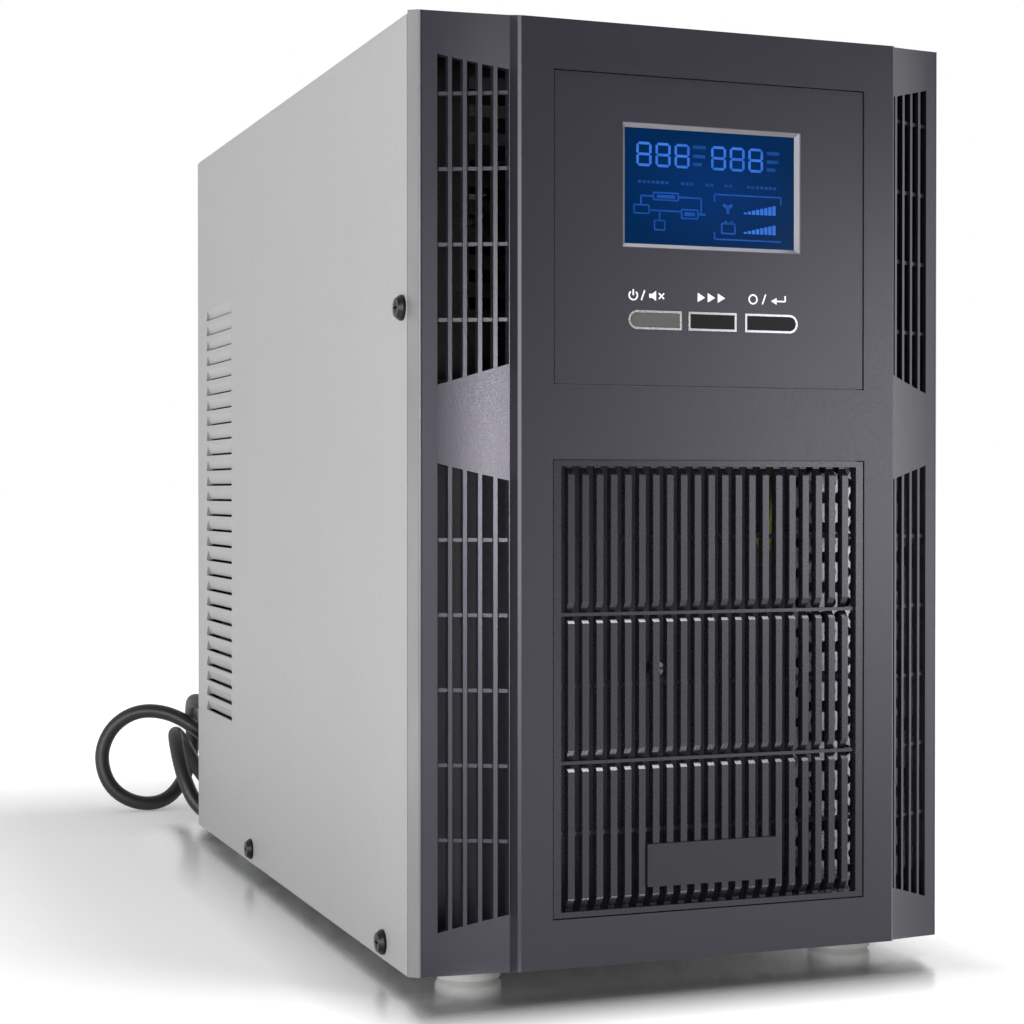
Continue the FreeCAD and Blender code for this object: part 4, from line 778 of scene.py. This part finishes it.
# Lamps: name, place, aim, size, power
LAMPS = (
    ("side_lamp", (-1.5, -0.75, 0.2), MIDDLE, 1.0, 19),
    ("left_lamp", (-0.9, -1.18, 0.21), (-0.08, -0.17, 0.17), 0.2, 5.5),
    ("front_lamp", (0.8, -1.3, 0.22), (0.06, -0.18, 0.17), 0.45, 3),
    ("right_lamp", (1.2, -0.25, 0.2), (0.08, -0.17, 0.17), 0.8, 2.5),
    ("top_lamp", (0.45, -0.42, 1.5), MIDDLE, 0.6, 16),
)


def floor_material():
    """Matt white, with a soft reflection close to the unit that stands in for its contact shadow, and a glow
    that fades towards the unit as painted shade.
    """
    mat = blank_material("floor")
    links = mat.node_tree.links
    where = mat.node_tree.nodes.new("ShaderNodeTexCoord").outputs["Object"]
    beside = vector_step(mat, "SUBTRACT", vector_step(mat, "ABSOLUTE", where), (side_x, body_y, 0))
    gap = vector_step(mat, "LENGTH", vector_step(mat, "MAXIMUM", beside, (0, 0, 0)))
    # painted shadow: under and just round the unit the floor becomes a mirror of the dark unit without its
    # glow, standing in for a contact shadow
    shine = add(mat, "ShaderNodeMapRange", Value=gap, From_Max=SHINE_REACH, To_Min=FLOOR_SHINE, To_Max=0.0)
    far = add(mat, "ShaderNodeMapRange", Value=gap, From_Min=GLOW_FROM, From_Max=GLOW_TO,
              To_Max=FLOOR_GLOW)
    polish = add(mat, "ShaderNodeBsdfGlossy", Color=(0.98, 0.98, 0.98, 1), Roughness=0.2)
    matt = add(mat, "ShaderNodeBsdfDiffuse", Color=(0.9, 0.9, 0.9, 1))
    glow = add(mat, "ShaderNodeEmission", Strength=far.outputs["Result"])
    pale = mat.node_tree.nodes.new("ShaderNodeAddShader")
    links.new(matt.outputs["BSDF"], pale.inputs[0])
    links.new(glow.outputs["Emission"], pale.inputs[1])
    surface = add(mat, "ShaderNodeMixShader", Fac=shine.outputs["Result"])
    links.new(pale.outputs["Shader"], surface.inputs[1])
    links.new(polish.outputs["BSDF"], surface.inputs[2])
    links.new(surface.outputs["Shader"], mat.node_tree.nodes["Material Output"].inputs["Surface"])
    return mat


def floor():
    """A very wide, pale floor."""
    mesh = bmesh.new()
    bmesh.ops.create_grid(mesh, x_segments=1, y_segments=1, size=FLOOR_SIZE / 2)
    data = bpy.data.meshes.new("floor")
    mesh.to_mesh(data)
    mesh.free()
    plane = bpy.data.objects.new("floor", data)
    bpy.context.scene.collection.objects.link(plane)
    data.materials.append(floor_material())


def area_light(name, place, aim, size, power):
    """A round soft lamp that faces a point."""
    data = bpy.data.lights.new(name, "AREA")
    data.shape = "DISK"
    data.size = size
    data.energy = power
    lamp = bpy.data.objects.new(name, data)
    lamp.location = place
    lamp.rotation_euler = (Vector(aim) - Vector(place)).to_track_quat("-Z", "Y").to_euler()
    bpy.context.scene.collection.objects.link(lamp)


def studio():
    """A white backdrop behind the unit, a dimmer room in front of it, and soft lamps round it."""
    world = bpy.data.worlds.new("studio")
    world.use_nodes = True
    tree = world.node_tree
    room = tree.nodes["Background"]
    room.inputs["Color"].default_value = (1, 1, 1, 1)
    room.inputs["Strength"].default_value = ROOM_LIGHT
    shine = tree.nodes.new("ShaderNodeBackground")
    heading = tree.nodes.new("ShaderNodeSeparateXYZ")
    tree.links.new(tree.nodes.new("ShaderNodeTexCoord").outputs["Generated"], heading.inputs["Vector"])
    depth = tree.nodes.new("ShaderNodeMapRange")
    for name, value in (("From Min", -SHINE_BLEND), ("From Max", SHINE_BLEND),
                        ("To Min", SHINE_FRONT), ("To Max", SHINE_BACK)):
        depth.inputs[name].default_value = value
    tree.links.new(heading.outputs["Y"], depth.inputs["Value"])
    tree.links.new(depth.outputs["Result"], shine.inputs["Strength"])
    backdrop = tree.nodes.new("ShaderNodeBackground")
    backdrop.inputs["Color"].default_value = (1, 1, 1, 1)
    rays = tree.nodes.new("ShaderNodeLightPath")
    surface = room.outputs["Background"]
    for ray, seen in (("Is Glossy Ray", shine), ("Is Camera Ray", backdrop)):
        chooser = tree.nodes.new("ShaderNodeMixShader")
        tree.links.new(rays.outputs[ray], chooser.inputs["Fac"])
        tree.links.new(surface, chooser.inputs[1])
        tree.links.new(seen.outputs["Background"], chooser.inputs[2])
        surface = chooser.outputs["Shader"]
    tree.links.new(surface, tree.nodes["World Output"].inputs["Surface"])
    bpy.context.scene.world = world
    bpy.context.scene.view_settings.view_transform = "Standard"
    for lamp in LAMPS:
        area_light(*lamp)


# ---------------------------------------------------------------- build

camera()
MATERIALS = make_materials()
mains_cord()
dress_nodes()
lcd_figures()
lcd_small_marks()
lcd_power_flow()
lcd_load_brackets()
lcd_levels()
button_icons()
floor()
studio()
